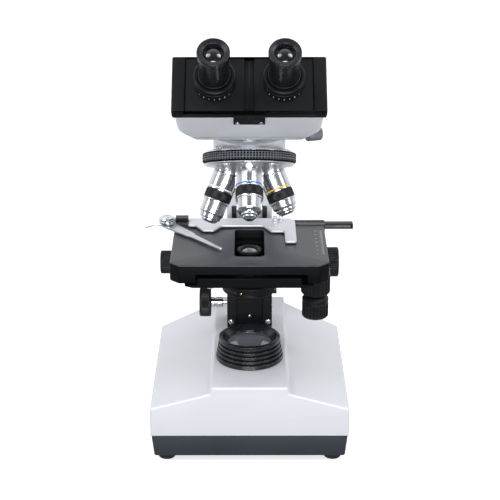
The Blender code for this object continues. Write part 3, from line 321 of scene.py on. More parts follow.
def fillet(points, radius, closed=True, steps=5):
    """Each corner becomes the arc that touches its two sides; the arc's points are spread evenly by angle."""
    points = np.asarray(points, float)
    count = len(points)
    radii = np.broadcast_to(radius, (count,))
    out = []
    for k in range(count):
        here = points[k]
        before, after = points[k - 1] - here, points[(k + 1) % count] - here
        long_before, long_after = np.linalg.norm(before), np.linalg.norm(after)
        if (not closed and k in (0, count - 1)) or min(long_before, long_after) < 1e-9 or radii[k] <= 0:
            out.append(here[None])
            continue
        u, v = before / long_before, after / long_after
        half = math.acos(max(-1.0, min(1.0, float(u @ v)))) / 2
        if half > math.radians(88.5) or half < math.radians(2):
            out.append(here[None])
            continue
        reach = min(radii[k] / math.tan(half), 0.46 * min(long_before, long_after))
        round_radius = reach * math.tan(half)
        centre = here + (u + v) / np.linalg.norm(u + v) * round_radius / math.sin(half)
        first, last = here + u * reach - centre, here + v * reach - centre
        opening = math.pi - 2 * half
        t = np.linspace(0, 1, steps + 1)[:, None]
        out.append(centre + (np.sin((1 - t) * opening) * first + np.sin(t * opening) * last)
                   / math.sin(opening))
    return np.concatenate(out)


def inset(outline, distance):
    """Moves a closed outline inwards, each point along its two sides' bisector, so both stay parallel."""
    ahead = np.roll(outline, -1, 0) - outline
    ahead /= np.maximum(np.linalg.norm(ahead, axis=1, keepdims=True), 1e-9)
    behind = np.roll(ahead, 1, 0)
    area = np.sum(outline[:, 0] * np.roll(outline[:, 1], -1) - np.roll(outline[:, 0], -1) * outline[:, 1])
    turn = np.sign(area)
    normals = np.stack([-ahead[:, 1] - behind[:, 1], ahead[:, 0] + behind[:, 0]], 1) * turn
    length = np.maximum(np.linalg.norm(normals, axis=1, keepdims=True), 1e-9)
    stretch = np.minimum(2.0 / length, 1.6)
    return outline + normals / length * distance * stretch


def split(profile, step):
    """Adds evenly spaced points so that no stretch of a profile is longer than step."""
    out = []
    for a, b in zip(profile[:-1], profile[1:]):
        parts = max(1, int(np.ceil(np.linalg.norm(b - a) / step)))
        out.append(a + (b - a) * np.arange(parts)[:, None] / parts)
    out.append(profile[-1:])
    return np.concatenate(out)


def skin(name, body, rows, place, materials, wrap=False, caps=True, paint=None, sharp=32.0, replaces=(),
         slot=None):
    """A grid of points, rows by columns, closed round its columns, in local millimetres.

    wrap joins the last row to the first; otherwise caps close both ends. paint(rows_middle) gives each strip of
    faces its material's number from the strip's middle point and column.
    """
    rows = np.asarray(rows, float)
    count, columns = rows.shape[:2]
    flat = np.concatenate([rows.reshape(-1, 3) * MM, np.ones((count * columns, 1))], 1)
    points = (flat @ place.T)[:, :3]
    lines = count if wrap else count - 1
    r, c = np.meshgrid(np.arange(lines), np.arange(columns), indexing="ij")
    below, above = r * columns, ((r + 1) % count) * columns
    nearby = (c + 1) % columns
    quads = np.stack([below + c, below + nearby, above + nearby, above + c], -1).reshape(-1, 4)
    mesh = bpy.data.meshes.new(name)
    faces = quads.tolist()
    if caps and not wrap:
        faces += [list(range(columns)), list(range((count - 1) * columns, count * columns))]
    mesh.from_pydata(points, [], faces)
    numbers = np.zeros(len(faces), int)
    if paint is not None:
        middle = (rows[r, c] + rows[r, nearby] + rows[(r + 1) % count, nearby] + rows[(r + 1) % count, c]) / 4
        numbers[:quads.shape[0]] = paint(middle).reshape(-1)
    mesh.polygons.foreach_set("material_index", numbers)
    bm = bmesh.new()
    bm.from_mesh(mesh)
    bmesh.ops.remove_doubles(bm, verts=bm.verts, dist=2e-7)
    bmesh.ops.recalc_face_normals(bm, faces=bm.faces)
    bm.to_mesh(mesh)
    bm.free()
    mesh.shade_smooth()
    mesh.set_sharp_from_angle(angle=math.radians(sharp))
    for material in materials:
        mesh.materials.append(material)
    piece = bpy.data.objects.new(name, mesh)
    bpy.context.scene.collection.objects.link(piece)
    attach(piece, body)
    if replaces:
        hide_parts(*replaces)
    return piece


def lathe(name, body, profile, place, materials, edge=None, fine=None, wave=None, bands=(), steps=None,
          loop=False,
          **more):
    """A surface of revolution: radius and height run along a profile, the angle runs round.

    wave(angle, height, radius) is added to the radius. bands lists (number, low, high) or
    (number, low, high, least radius): faces whose middle lies there take that material.
    """
    steps = steps or sizes().round_steps
    edge = sizes().turned_edge / MM if edge is None else edge
    outline = fillet(profile, edge, closed=loop, steps=4)
    if fine:
        outline = split(outline, fine)
    angle = np.linspace(0, 2 * math.pi, steps, endpoint=False)[None, :]
    radius, height = outline[:, :1], outline[:, 1:]
    swell = 0.0 if wave is None else wave(angle, height, radius)
    wide = np.where(radius > 1e-6, radius + swell, 0.0) + 0 * angle
    rows = np.stack([wide * np.cos(angle), wide * np.sin(angle), height + 0 * angle], -1)

    def paint(middle):
        far = np.hypot(middle[..., 0], middle[..., 1])
        out = np.zeros(middle.shape[:2], int)
        for number, low, high, *least in bands:
            inside = (middle[..., 2] > low) & (middle[..., 2] < high)
            if least:
                inside &= far > least[0]
            out[inside] = number
        return out

    return skin(name, body, rows, place, materials, wrap=loop, caps=False, paint=paint if bands else None,
                **more)


def tower(name, body, outline, levels, place, materials, **more):
    """An outline stacked at levels of (inset, height), closed at both ends."""
    rows = []
    for distance, height in levels:
        flat = inset(outline, distance) if distance else outline
        rows.append(np.column_stack([flat, np.full(len(flat), height)]))
    return skin(name, body, np.array(rows), place, materials, **more)


def rounding(low, high, edge, steps=4, draft=0.0):
    """Levels of a block from low to high whose two ends are rounded by a quarter circle."""
    t = np.linspace(0, math.pi / 2, steps + 1)
    bottom = [(edge * (1 - math.sin(a)) + draft, low + edge * (1 - math.cos(a))) for a in t]
    top = [(edge * (1 - math.sin(a)), high - edge * (1 - math.cos(a))) for a in t[::-1]]
    return bottom + top


def slab(name, body, outline, low, high, place, materials, edge=None, corner=0.0, **more):
    """A flat outline with rounded corners, given thickness from low to high and rounded edges."""
    edge = sizes().machined_edge / MM if edge is None else edge
    outline = fillet(outline, corner) if np.any(corner) else np.asarray(outline, float)
    return tower(name, body, outline, rounding(low, high, min(edge, (high - low) * 0.45)), place, materials,
                 **more)


def rectangle(x0, x1, y0, y1):
    return [(x0, y0), (x1, y0), (x1, y1), (x0, y1)]


def flutes(count, depth, low, high, sharp=1.0, fade=0.6):
    """Lengthwise grooves: depth times a raised cosine of the angle, faded out at both heights."""
    def wave(angle, height, radius):
        window = np.clip((height - low) / fade, 0, 1) * np.clip((high - height) / fade, 0, 1)
        return -depth * window * (0.5 - 0.5 * np.cos(count * angle)) ** sharp
    return wave


def checks(count, pitch, depth, low, high, least):
    """Square knurl: grooves by angle and by height, only outside the least radius."""
    def wave(angle, height, radius):
        inside = (height > low) & (height < high) & (radius > least)
        across = np.maximum(0.0, np.cos(count * angle)) ** 2
        up = np.maximum(0.0, np.cos(2 * math.pi * (height - low) / pitch)) ** 2
        return -depth * inside * np.maximum(across, up)
    return wave


def screw_head(name, body, place, radius, height, material, slot_width=0.0):
    """A pan head: a quarter-ellipse profile with a shallow round recess."""
    t = np.linspace(0, math.pi / 2, 7)
    dome = np.column_stack([radius * np.cos(t[::-1]), height * (0.35 + 0.65 * np.sin(t[::-1]))])
    inner = [(0, height * 0.55), (radius * 0.35, height * 0.55), (radius * 0.42, dome[0, 1])]
    profile = np.concatenate([inner, dome[dome[:, 0] > radius * 0.45], [(radius, 0), (0, 0)]])
    return lathe(name, body, profile, place, [material], edge=0.0, steps=24)


def assign(node, material, bevel=0.5, slot=None):
    """Gives a frame node its finish, and soft edges by welding its faces and rounding their joins."""
    piece = frame["nodes"][node]
    piece.data.materials.clear()
    piece.data.materials.append(material)
    if bevel:
        weld = piece.modifiers.new("weld", "WELD")
        weld.merge_threshold = 0.00001
        soften = piece.modifiers.new("soften", "BEVEL")
        soften.width = bevel * MM
        soften.segments = 3
        soften.limit_method = "ANGLE"
        soften.angle_limit = math.radians(38)
        soften.use_clamp_overlap = True


# ---------------------------------------------------------------- base and stand

def build_base():
    """Housing: a cross-section with a raised deck carried back along Y, rounded in at both ends."""
    low, high = corners("base_housing")
    side, bottom, front, back = high.x, low.z, low.y, high.y
    side_top, bend = bottom + 27.7, 80.0
    deck = corners("lamp_house")[0].z + 7.7
    climb = high.z - deck
    wide = corners("lamp_house")[1].x + 3.8
    edge = sizes().edge / MM * 0.55
    turn = np.linspace(0, math.pi / 2, 6)
    middle = np.array([front + 8, 0.0, bend - 6, bend - 2, bend + 2, bend + 6, back - 8])
    ys = np.concatenate([front + edge * (1 - np.cos(turn)), middle, back - edge * (1 - np.cos(turn[::-1]))])
    insets = np.concatenate([edge * (1 - np.sin(turn)), 0 * middle, edge * (1 - np.sin(turn[::-1]))])
    rows = []
    for y, distance in zip(ys, insets):
        top = deck + climb * max(0.0, (y - bend) / (back - bend))
        half = [(side, bottom), (side, side_top), (wide, top - 6.3), (wide - 0.6, top)]
        outline = fillet(half + [(-x, z) for x, z in half[::-1]], [0, 3.2, 2.6, 2.4, 2.4, 2.6, 3.2, 0])
        flat = inset(outline, distance) if distance else outline
        flat[:, 1] = np.maximum(flat[:, 1], bottom)
        rows.append(np.column_stack([flat[:, 0], np.full(len(flat), y), flat[:, 1]]))
    skin("housing_casting", "stand", np.array(rows), upright(), [enamel()], replaces=["base_housing"],
         slot="white_enamel")

    low, high = corners("base_tray")
    outline = fillet(rectangle(-high.x, high.x, low.y, high.y), 5.0)
    draft = 2.5
    levels = [(draft + 1.6, low.z), (draft + 0.5, low.z + 0.4), (draft, low.z + 1.5), (0.5, high.z - 0.8),
              (0.6, high.z - 0.2), (1.1, high.z)]
    tower("tray_pan", "stand", outline, levels, upright(), [tray_paint()], replaces=["base_tray"],
          slot="tray_grey")
    for name in ("front_left", "front_right", "rear_left", "rear_right"):
        low, high = corners(f"{name}_foot")
        middle = (low + high) / 2
        top = high.x - middle.x
        profile = [(0, high.z), (top, high.z), (top, high.z - 1.6), (top - 1.1, high.z - 2.2),
                   (top - 1.0, 1.0),
                   (top - 2.0, 0), (4.0, 0), (3.4, 0.8), (0, 0.8)]
        lathe(f"{name}_rubber", "stand", profile, upright(middle.x, middle.y), [rubber()], edge=0.7, steps=48,
              replaces=[f"{name}_foot"], slot="rubber")


def build_illuminator():
    """Tower of rounded ribs round a sunk cone, with a domed field lens."""
    low, high = corners("lamp_house")
    deck = low.z + 8.0
    flange, top = high.x, high.z
    crown = 28.6
    ribs = sizes().lamp_ribs
    pitch = (top - 4.4 - deck - 1.5) / ribs
    profile = [(crown - 1.6, top), (crown, top - 0.7), (crown, top - 4.0)]
    for n in range(ribs):
        start = top - 4.4 - n * pitch
        radius = crown + (flange - crown) * (n + 0.7) / ribs
        profile += [(radius - 3.0, start), (radius - 3.0, start - 0.9), (radius, start - 1.5),
                    (radius, start - pitch + 0.5)]
    profile += [(flange, deck + 1.2), (flange, deck), (18.0, deck), (18.0, top - 9.5), (20.4, top - 9.5),
                (20.4, top - 4.4), (crown - 3.4, top)]
    lathe("lamp_tower", "stand", profile, upright(), [barrel_black()], edge=0.7, loop=True,
          replaces=["lamp_house"],
          slot="black_enamel")
    low, high = corners("field_lens")
    t = np.linspace(0, 1, 10)
    radius, thick = high.x, high.z - low.z
    dome = np.column_stack([radius * t, high.z - (thick - 2.2) * t ** 2])
    profile = np.concatenate([dome, [(radius, low.z), (0, low.z)]])
    lathe("field_lens_glass", "stand", profile, upright(), [lamp_glass_and_painted_reflection()], edge=0.0, replaces=["field_lens"],
          slot="clear_glass")


def build_arm():
    """The C-shaped casting: its side outline carried across, with generous rounding, and the round boss."""
    low, high = corners("arm")
    front, back, top, foot = 86.3, high.y, high.z - 2.0, low.z
    neck = top - 32.0
    outline = [(front, foot - 6.0), (back, foot - 1.0), (back, top), (8.0, top), (8.0, neck + 13.0),
               (30.0, neck + 8.6),
               (front, neck - 2.0)]
    outline = fillet(outline, [5.6, 5.6, 58, 5.6, 5.6, 10, 26], steps=14)
    half = 22.0
    tower("arm_casting", "stand", outline, rounding(-half, half, 5.0, 6), along_x(0, 0), [enamel()],
          sharp=50.0,
          replaces=["arm"], slot="white_enamel")
    seat = high.z
    radius = high.x
    tilt = math.tan(LEAN)
    angle = np.linspace(0, 2 * math.pi, 96, endpoint=False)
    inner, outer = 20.4, radius
    x, y = np.cos(angle), np.sin(angle)
    floor = APEX / MM - (27.9 + outer * y * math.sin(LEAN)) / math.cos(LEAN)
    floor = np.minimum(floor, seat - 1.2)
    floor = np.maximum(floor, seat - 29.0)
    rings = []
    for r, z in ((inner, seat), (outer - 1.2, seat), (outer - 0.35, seat - 0.35), (outer, seat - 1.2)):
        rings.append(np.column_stack([r * x, r * y, np.full(96, z)]))
    for r in (outer, inner):
        rings.append(np.column_stack([r * x, r * y, floor + (outer - r) * y * tilt]))
    skin("arm_boss", "stand", np.array(rings), upright(), [enamel()], wrap=True, slot="white_enamel")


def build_lock_screw():
    """Knurled thumb screw: fine flutes round a short drum on a thin shank."""
    joint = JOINTS["lock_screw_turn"]
    place = place_at(joint["pos_m"], joint["axis"], (0, 0, 1))
    profile = [(0, 68), (5.6, 68), (6.5, 67), (6.5, 54.6), (5.6, 54), (3.4, 54), (3.4, 52), (1.9, 52),
               (1.9, 22.6),
               (0, 22.6)]
    lathe("lock_screw_drum", "lock_screw", profile, place, [zinc_grey()], fine=1.0,
          wave=flutes(40, 0.35, 54.6, 67.2), steps=240, replaces=["head_lock_screw"], slot="satin_steel")


def build_electrics():
    """Finishes of the inlet, switch, board, lamp and socket; the dial is fluted."""
    assign("power_inlet", moulded_black(), 0.5)
    assign("power_switch", moulded_black(), 0.4)
    assign("power_board", band("solder_mask", (0.02, 0.14, 0.06)), 0.3)
    assign("lamp_socket", band("ceramic", (0.6, 0.57, 0.5)), 0.0)
    assign("lamp_bulb", clear_glass(), 0.0)
    joint = JOINTS["dial_turn"]
    place = place_at(joint["pos_m"], joint["axis"], (0, 0, 1))
    profile = [(0, 5.6), (7.6, 5.6), (8.2, 6.0), (9.0, 6.0), (9.9, 5.0), (9.9, 0.4), (3, 0.4), (3, -6.8),
               (0, -6.8)]
    lathe("dial_knob", "dial", profile, place, [moulded_black()], fine=1.0, wave=flutes(30, 0.5, 0.9, 4.9),
          steps=240,
          replaces=["brightness_dial"], slot="black_plastic")


# ---------------------------------------------------------------- focusing block

def build_focus():
    """Fluted coarse and fine knobs on one axis, and the block's finish with its screws."""
    pos = JOINTS["coarse_turn"]["pos_m"]
    place = place_at(pos, (1, 0, 0), (0, 1, 0))
    low, high = corners("right_coarse_knob")
    rim = (high.z - low.z) / 2
    for side, name in ((-1, "left"), (1, "right")):
        start, end = 27.0, 60.0
        profile = [(3.3, end - 1.5), (rim - 6.5, end - 1.5), (rim - 5.5, end), (rim - 1.6, end),
                   (rim, end - 1.6),
                   (rim, end - 13), (rim - 1.2, end - 14), (rim - 1.2, start + 5), (rim - 0.6, start + 4),
                   (rim - 0.6, start + 1), (rim - 1.6, start), (6.3, start)]
        profile = [(r, side * z) for r, z in profile]
        lathe(f"{name}_coarse_grip", "coarse_drive", profile, place, [moulded_black()], edge=0.5, fine=1.5,
              loop=True,
              wave=flutes(48, 0.5, *sorted((side * (end - 12.4), side * (end - 2.2)))), steps=288,
              replaces=[f"{name}_coarse_knob"], slot="black_plastic")
    lathe("coarse_sleeve", "coarse_drive", [(5.9, 38), (5.9, -30), (3.4, -30), (3.4, 38)], place, [chrome()],
          loop=True, slot="chrome")
    for side, name, radius in ((-1, "left", 11.5), (1, "right", 14.7)):
        start, end = 61.3, 88.0
        profile = [(0, end - 0.8), (radius - 3.4, end - 0.8), (radius - 3.0, end), (radius - 0.9, end),
                   (radius, end - 0.9), (radius, start + 6.4), (radius - 0.7, start + 6.0),
                   (radius - 0.7, start + 5.2),
                   (radius, start + 4.8), (radius, start + 0.8), (radius - 0.8, start), (0, start)]
        profile = [(r, side * z) for r, z in profile]
        low, high = sorted((side * (start + 7.0), side * (end - 1.4)))
        lathe(f"{name}_fine_grip", "fine_drive", profile, place,
              [moulded_black(), band("drum_grey", (0.3, 0.31, 0.33))],
              fine=1.5, wave=flutes(36, 0.45, low, high), steps=288,
              bands=[(1, *sorted((side * (start - 0.5), side * (start + 5.0))), radius - 1.2)],
              replaces=[f"{name}_fine_knob"], slot="black_plastic")
    lathe("fine_shaft", "fine_drive", [(0, 62), (2.9, 62), (2.9, -62), (0, -62)], place, [chrome()],
          slot="chrome")
    assign("focus_carriage", satin_black(), 0.7)
    build_rail()
    front = corners("focus_carriage")[0].y
    for n, (x, z, y, radius) in enumerate(((-18.0, 86.5, front, 2.6), (18.0, 86.5, front, 2.6),
                                           (0.0, 90.0, front + 5.75, 1.6))):
        spot = place_at(AXIS + Vector((x, y, z)) * MM, (0, -1, 0))
        screw_head(f"carriage_screw_{n}", "carriage", spot, radius, radius * 0.6, chrome())


def build_rail():
    """Channel rail: a U-shaped section carried up, black with a bright ground floor between its two posts."""
    low, high = corners("focus_rail")
    wide, front, back = high.x, low.y, high.y
    groove, floor = wide - 4.6, back - 1.6
    section = [(-wide, front), (-groove, front), (-groove, floor), (groove, floor), (groove, front),
               (wide, front),
               (wide, back), (-wide, back)]
    outline = fillet(section, [0.8, 0.4, 0.1, 0.1, 0.4, 0.8, 0.3, 0.3])

    def ground(middle):
        return ((np.abs(middle[..., 0]) < groove - 0.1) & (middle[..., 1] < floor + 0.1)).astype(int)

    tower("dovetail_rail", "stand", outline, rounding(low.z, high.z - 1.8, 0.6), upright(),
          [satin_black(), enamel()], paint=ground, replaces=["focus_rail"], slot="black_enamel")


# ---------------------------------------------------------------- stage

def build_stage():
    """The top plate is a ring between its outline and its aperture; its skirts hang below both sides."""
    low, high = corners("stage_top_plate")
    wide, front, back, top = high.x, low.y, high.y, high.z
    slab_low = top - 8.8
    corner = 8.0
    outer = fillet([(wide, back), (-wide, back), (-wide, front + corner), (-wide + corner, front),
                    (wide - corner, front), (wide, front + corner)], [2, 2, 2.5, 2.5, 2.5, 2.5], steps=6)
    hole = fillet([(13.5, 35), (-13.5, 35), (-13.5, -36), (13.5, -36)], 5.0, steps=9)
    count = 160
    middle = np.array([0.0, -5.0])
    corner_angles = np.concatenate([np.arctan2(loop[:, 1] - middle[1], loop[:, 0] - middle[0])
                                    for loop in (outer, hole)])

    def even(loop):
        """The outline with points at even angles from the aperture's middle, so that two outlines pair up."""
        ends = np.concatenate([loop, loop[:1]])
        dense = np.concatenate([a + (b - a) * np.linspace(0, 1, 40, endpoint=False)[:, None]
                                for a, b in zip(ends[:-1], ends[1:])])
        angle = np.unwrap(np.arctan2(dense[:, 1] - middle[1], dense[:, 0] - middle[0]))
        want = np.concatenate([np.linspace(0, 2 * math.pi, count, endpoint=False),
                               corner_angles]) % (2 * math.pi)
        want = np.sort(want)
        order = np.argsort(angle % (2 * math.pi))
        known = (angle % (2 * math.pi))[order]
        return np.column_stack([np.interp(want, known, dense[order, k], period=2 * math.pi) for k in (0, 1)])

    outer, hole = even(outer), even(hole)
    edge = 0.9
    turn = np.linspace(0, math.pi / 2, 4)
    rows = [(outer, 0.0, slab_low)]
    rows += [(outer, edge * (1 - math.cos(a)), top - edge * (1 - math.sin(a))) for a in turn]
    rows += [(hole, -edge * 0.6 * (1 - math.cos(a)),
              top - edge * 0.6 * (1 - math.sin(a))) for a in turn[::-1]]
    rows += [(hole, 0.0, slab_low)]
    stack = [np.column_stack([inset(loop, distance), np.full(len(loop), z)]) for loop, distance, z in rows]
    skin("stage_plate", "stage_y", np.array(stack), upright(), [stage_coating(), edge_black()], wrap=True,
         paint=lambda spot: (spot[..., 2] < top - 0.7).astype(int), replaces=["stage_top_plate"],
         slot="stage_coating")
    for name, outline in (
            ("left", [(-wide, back), (-wide, front + corner), (-wide + corner, front), (-47, front),
                      (-47, back)]),
            ("right", [(wide, back), (wide, front + corner), (wide - corner, front), (51, front),
                       (51, back)])):
        outline = fillet(outline, [2, 2.5, 2.5, 0.6, 0.6], steps=6)
        levels = [(1.2, low.z), (0.35, low.z + 0.35), (0, low.z + 1.2), (0, slab_low)]
        tower(f"{name}_skirt", "stage_y", outline, levels, upright(), [edge_black()], slot="black_enamel")
    assign("stage_lower_plate", edge_black(), 0.8)
    assign("stage_x_guide", stage_coating(), 0.5)
    build_scale_marks(top)
    build_rack_bar()


def tick_row(name, body, spots, size, place, material):
    """Thin raised marks: one closed block of eight corners at each spot, all in one mesh."""
    spots = np.asarray(spots, float)
    half = np.asarray(size, float) / 2
    unit = np.array([(x, y, z) for z in (-1, 1) for x, y in ((-1, -1), (1, -1), (1, 1), (-1, 1))], float)
    points = (spots[:, None, :] + unit[None] * half).reshape(-1, 3) * MM
    points = (np.column_stack([points, np.ones(len(points))]) @ place.T)[:, :3]
    sides = np.array([(3, 2, 1, 0), (4, 5, 6, 7), (0, 1, 5, 4), (1, 2, 6, 5), (2, 3, 7, 6), (3, 0, 4, 7)])
    faces = (np.arange(len(spots))[:, None, None] * 8 + sides[None]).reshape(-1, 4)
    mesh = bpy.data.meshes.new(name)
    mesh.from_pydata(points, [], faces.tolist())
    mesh.materials.append(material)
    piece = bpy.data.objects.new(name, mesh)
    bpy.context.scene.collection.objects.link(piece)
    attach(piece, body)
    return piece


def build_scale_marks(top):
    """Millimetre scale along the plate's right side and on the guide band."""
    minor = [(66.2, y, top + 0.03) for y in np.arange(-30, 31, 1.0)]
    major = [(65.4, y, top + 0.03) for y in np.arange(-30, 31, 5.0)]
    tick_row("plate_scale", "stage_y", minor, (1.5, 0.22, 0.08), upright(), white_mark())
    tick_row("plate_scale_long", "stage_y", major, (3.2, 0.3, 0.08), upright(), white_mark())
    for n, y in enumerate(range(-30, 31, 10)):
        text_mark(f"plate_number_{n}", "stage_y", str(n * 10), 2.6,
                  place_at(AXIS + Vector((61.0, y, top)) * MM))
    guide = corners("stage_x_guide")[1]
    marks = [(x, guide.y - 2.2, guide.z + 0.03) for x in np.arange(-30, 71, 2.0)]
    tick_row("guide_scale", "stage_y", marks, (0.25, 1.6, 0.08), upright(), white_mark())


def text_mark(name, body, words, height, place):
    """A raised number: a flat letter curve made a mesh, then placed."""
    curve = bpy.data.curves.new(name, "FONT")
    curve.body = words
    curve.size = height * MM
    curve.extrude = 0.00005
    curve.align_x = "CENTER"
    curve.align_y = "CENTER"
    drawn = bpy.data.objects.new(name + "_letters", curve)
    bpy.context.scene.collection.objects.link(drawn)
    ready = drawn.evaluated_get(bpy.context.evaluated_depsgraph_get())
    mesh = bpy.data.meshes.new_from_object(ready)
    bpy.data.objects.remove(drawn, do_unlink=True)
    mesh.transform(Matrix(place.tolist()))
    mesh.materials.clear()
    mesh.materials.append(white_mark())
    mesh.polygons.foreach_set("material_index", np.zeros(len(mesh.polygons), int))
    piece = bpy.data.objects.new(name, mesh)
    bpy.context.scene.collection.objects.link(piece)
    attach(piece, body)
    return piece


def build_rack_bar():
    """The bar's section has a groove in its front for a toothed strip; its teeth are a cosine along X."""
    low, high = corners("x_rack_bar")
    top = high.z - 0.7
    front, back = low.y, high.y
    section = [(front, low.z), (back, low.z), (back, top), (front, top), (front, top - 1.5),
               (front + 1.4, top - 1.5),
               (front + 1.4, low.z + 1.4), (front, low.z + 1.4)]
    outline = fillet(section, [0.7, 0.7, 1.0, 1.0, 0.15, 0.15, 0.15, 0.15])
    tower("rack_bar", "stage_x", outline, rounding(low.x, high.x, 0.7), along_x(0, 0), [satin_black()],
          replaces=["x_rack_bar"], slot="black_enamel")
    x = np.arange(-58.0, high.x - 2.0, 0.25)
    tooth = front + 0.75 + 0.3 * np.cos(2 * math.pi * x / 1.6)
    z0, z1 = low.z + 1.5, top - 1.6
    back_y = np.full_like(x, front + 1.5)
    rows = np.stack([np.column_stack([x, tooth, np.full_like(x, z0)]),
                     np.column_stack([x, tooth, np.full_like(x, z1)]),
                     np.column_stack([x, back_y, np.full_like(x, z1)]),
                     np.column_stack([x, back_y, np.full_like(x, z0)])], 1)
    skin("rack_teeth", "stage_x", rows, upright(), [satin_nickel()])


def build_slide_holder():
    """Holder plate, its screws, the spring barrel and the sprung finger with its ball."""
    low, high = corners("slide_holder")
    outline = [(-57, 57), (-57, 38), (-50, 38), (-43, 24), (-33, 24), (-26, 37), (13, 37), (20, 22),
               (32.4, 22),
               (32.4, -6), (42.8, -6), (42.8, 50), (38, 57)]
    outline = fillet(outline, [1.5, 1.5, 2, 2, 2, 3, 3, 2, 1.5, 2, 2, 4, 2])
    slab("holder_plate", "stage_x", outline, low.z, high.z, upright(), [holder_steel()], edge=0.35,
         replaces=["slide_holder"], slot="satin_steel")
    lip = slab("holder_finger_tip", "stage_x", rectangle(32.6, 42.6, -6.0, -3.2), low.z - 0.9, low.z + 0.1,
               upright(),
               [satin_black()], edge=0.2, corner=0.8)
    for n, (x, y) in enumerate(((24.0, 45.0), (29.5, 50.5))):
        profile = [(0, 6.2), (1.6, 6.2), (2.2, 5.6), (2.2, 3.2), (1.3, 2.8), (1.3, 1.6), (2.8, 1.2),
                   (2.8, 0), (0, 0)]
        lathe(f"holder_thumb_screw_{n}", "stage_x", profile, upright(x, y, high.z), [chrome()], edge=0.3,
              fine=0.6,
              wave=flutes(18, 0.18, 3.4, 5.6, fade=0.3), steps=108)
    marks = [(20.0 + 1.1 * n, 24.0 if n % 5 else 24.5, high.z + 0.02) for n in range(10)]
    tick_row("vernier_marks", "stage_x", marks, (0.22, 1.6, 0.06), upright(), satin_black())

    joint = JOINTS["finger_open"]
    pivot = (Vector(joint["pos_m"]) - AXIS) / MM
    barrel_high = corners("spring_barrel")[1]
    start = low.z + 2.2
    top = barrel_high.z
    profile = [(0, top + 0.0), (1.6, top), (1.9, top - 0.5), (4.2, top - 0.5), (4.8, top), (6.4, top),
               (7.75, top - 1.5), (7.75, top - 2.6), (7.2, top - 3.0), (7.2, top - 3.4), (7.75, top - 3.8),
               (7.75, start + 0.3), (7.3, start), (0, start)]
    lathe("spring_case", "stage_x", profile, upright(pivot.x, pivot.y), [chrome()], edge=0.35,
          replaces=["spring_barrel"], slot="chrome")
    lo_x, hi_x = -69.4, -57.4
    x = np.arange(lo_x, hi_x, 0.2)
    ridge = 0.25 * np.abs(np.sin(math.pi * (x - lo_x) / 1.6))
    z0, z1 = low.z + 2.0, low.z + 5.6
    rows = np.stack([np.column_stack([x, np.full_like(x, 45.7) + ridge, np.full_like(x, z0)]),
                     np.column_stack([x, np.full_like(x, 45.7) + ridge, z1 - 0.8 - ridge]),
                     np.column_stack([x, np.full_like(x, 46.5) + ridge, z1 - ridge]),
                     np.column_stack([x, np.full_like(x, 55.6), z1 - ridge]),
                     np.column_stack([x, np.full_like(x, 56.4), z1 - 0.8 - ridge]),
                     np.column_stack([x, np.full_like(x, 56.4), np.full_like(x, z0)])], 1)
    skin("knurled_clamp", "stage_x", rows, upright(), [satin_black()], sharp=25)

    tip = Vector((-25.0, -24.0, 0)) - Vector((pivot.x, pivot.y, 0))
    ahead = tip.normalized()
    aside = Vector((-ahead.y, ahead.x, 0))
    length = tip.length
    spine = [(0.0, 6.6), (0.12, 6.4), (0.44, 4.6), (0.47, 3.4), (1.0, 1.5)]
    right = [ahead * length * s + aside * w for s, w in spine]
    left = [ahead * length * s - aside * w for s, w in spine[::-1]]
    outline = [(p.x + pivot.x, p.y + pivot.y) for p in right + left]
    f_low, f_high = corners("slide_finger")
    outline += [(pivot.x - 6.0, pivot.y + 3.5), (pivot.x - 1.0, pivot.y + 6.8)]
    outline = fillet(outline, 2.0)
    slab("finger_blade", "finger", outline, f_low.z + 0.1, f_high.z, upright(), [satin_nickel()], edge=0.4,
         replaces=["slide_finger"], slot="satin_steel")
    t = np.linspace(0, 1, 40)
    path = np.column_stack([pivot.x - 4 - 15.6 * t, pivot.y - 4.0 - 4.6 * t + 3.2 * np.sin(math.pi * t),
                            np.full_like(t, f_low.z + 0.9)])
    tube("finger_tail", "finger", path, 0.55, upright(), satin_nickel())
    ball = np.column_stack([1.5 * np.sin(np.linspace(0, math.pi, 13)),
                            1.5 * np.cos(np.linspace(0, math.pi, 13))])
    end = ahead * (length - 1.6)
    lathe("finger_ball", "finger", ball, upright(pivot.x + end.x, pivot.y + end.y, f_low.z + 1.4), [chrome()],
          edge=0.0, steps=32)


def tube(name, body, path, radius, place, material, sides=12):
    """A round section carried along a path: each ring stands square to the path's local direction."""
    ahead = np.gradient(path, axis=0)
    ahead /= np.linalg.norm(ahead, axis=1, keepdims=True)
    up = np.array([0.0, 0.0, 1.0])
    aside = np.cross(ahead, up)
    aside /= np.linalg.norm(aside, axis=1, keepdims=True)
    over = np.cross(aside, ahead)
    angle = np.linspace(0, 2 * math.pi, sides, endpoint=False)
    rows = path[:, None] + radius * (np.cos(angle)[None, :, None] * aside[:, None]
                                     + np.sin(angle)[None, :, None] * over[:, None])
    return skin(name, body, rows, place, [material])


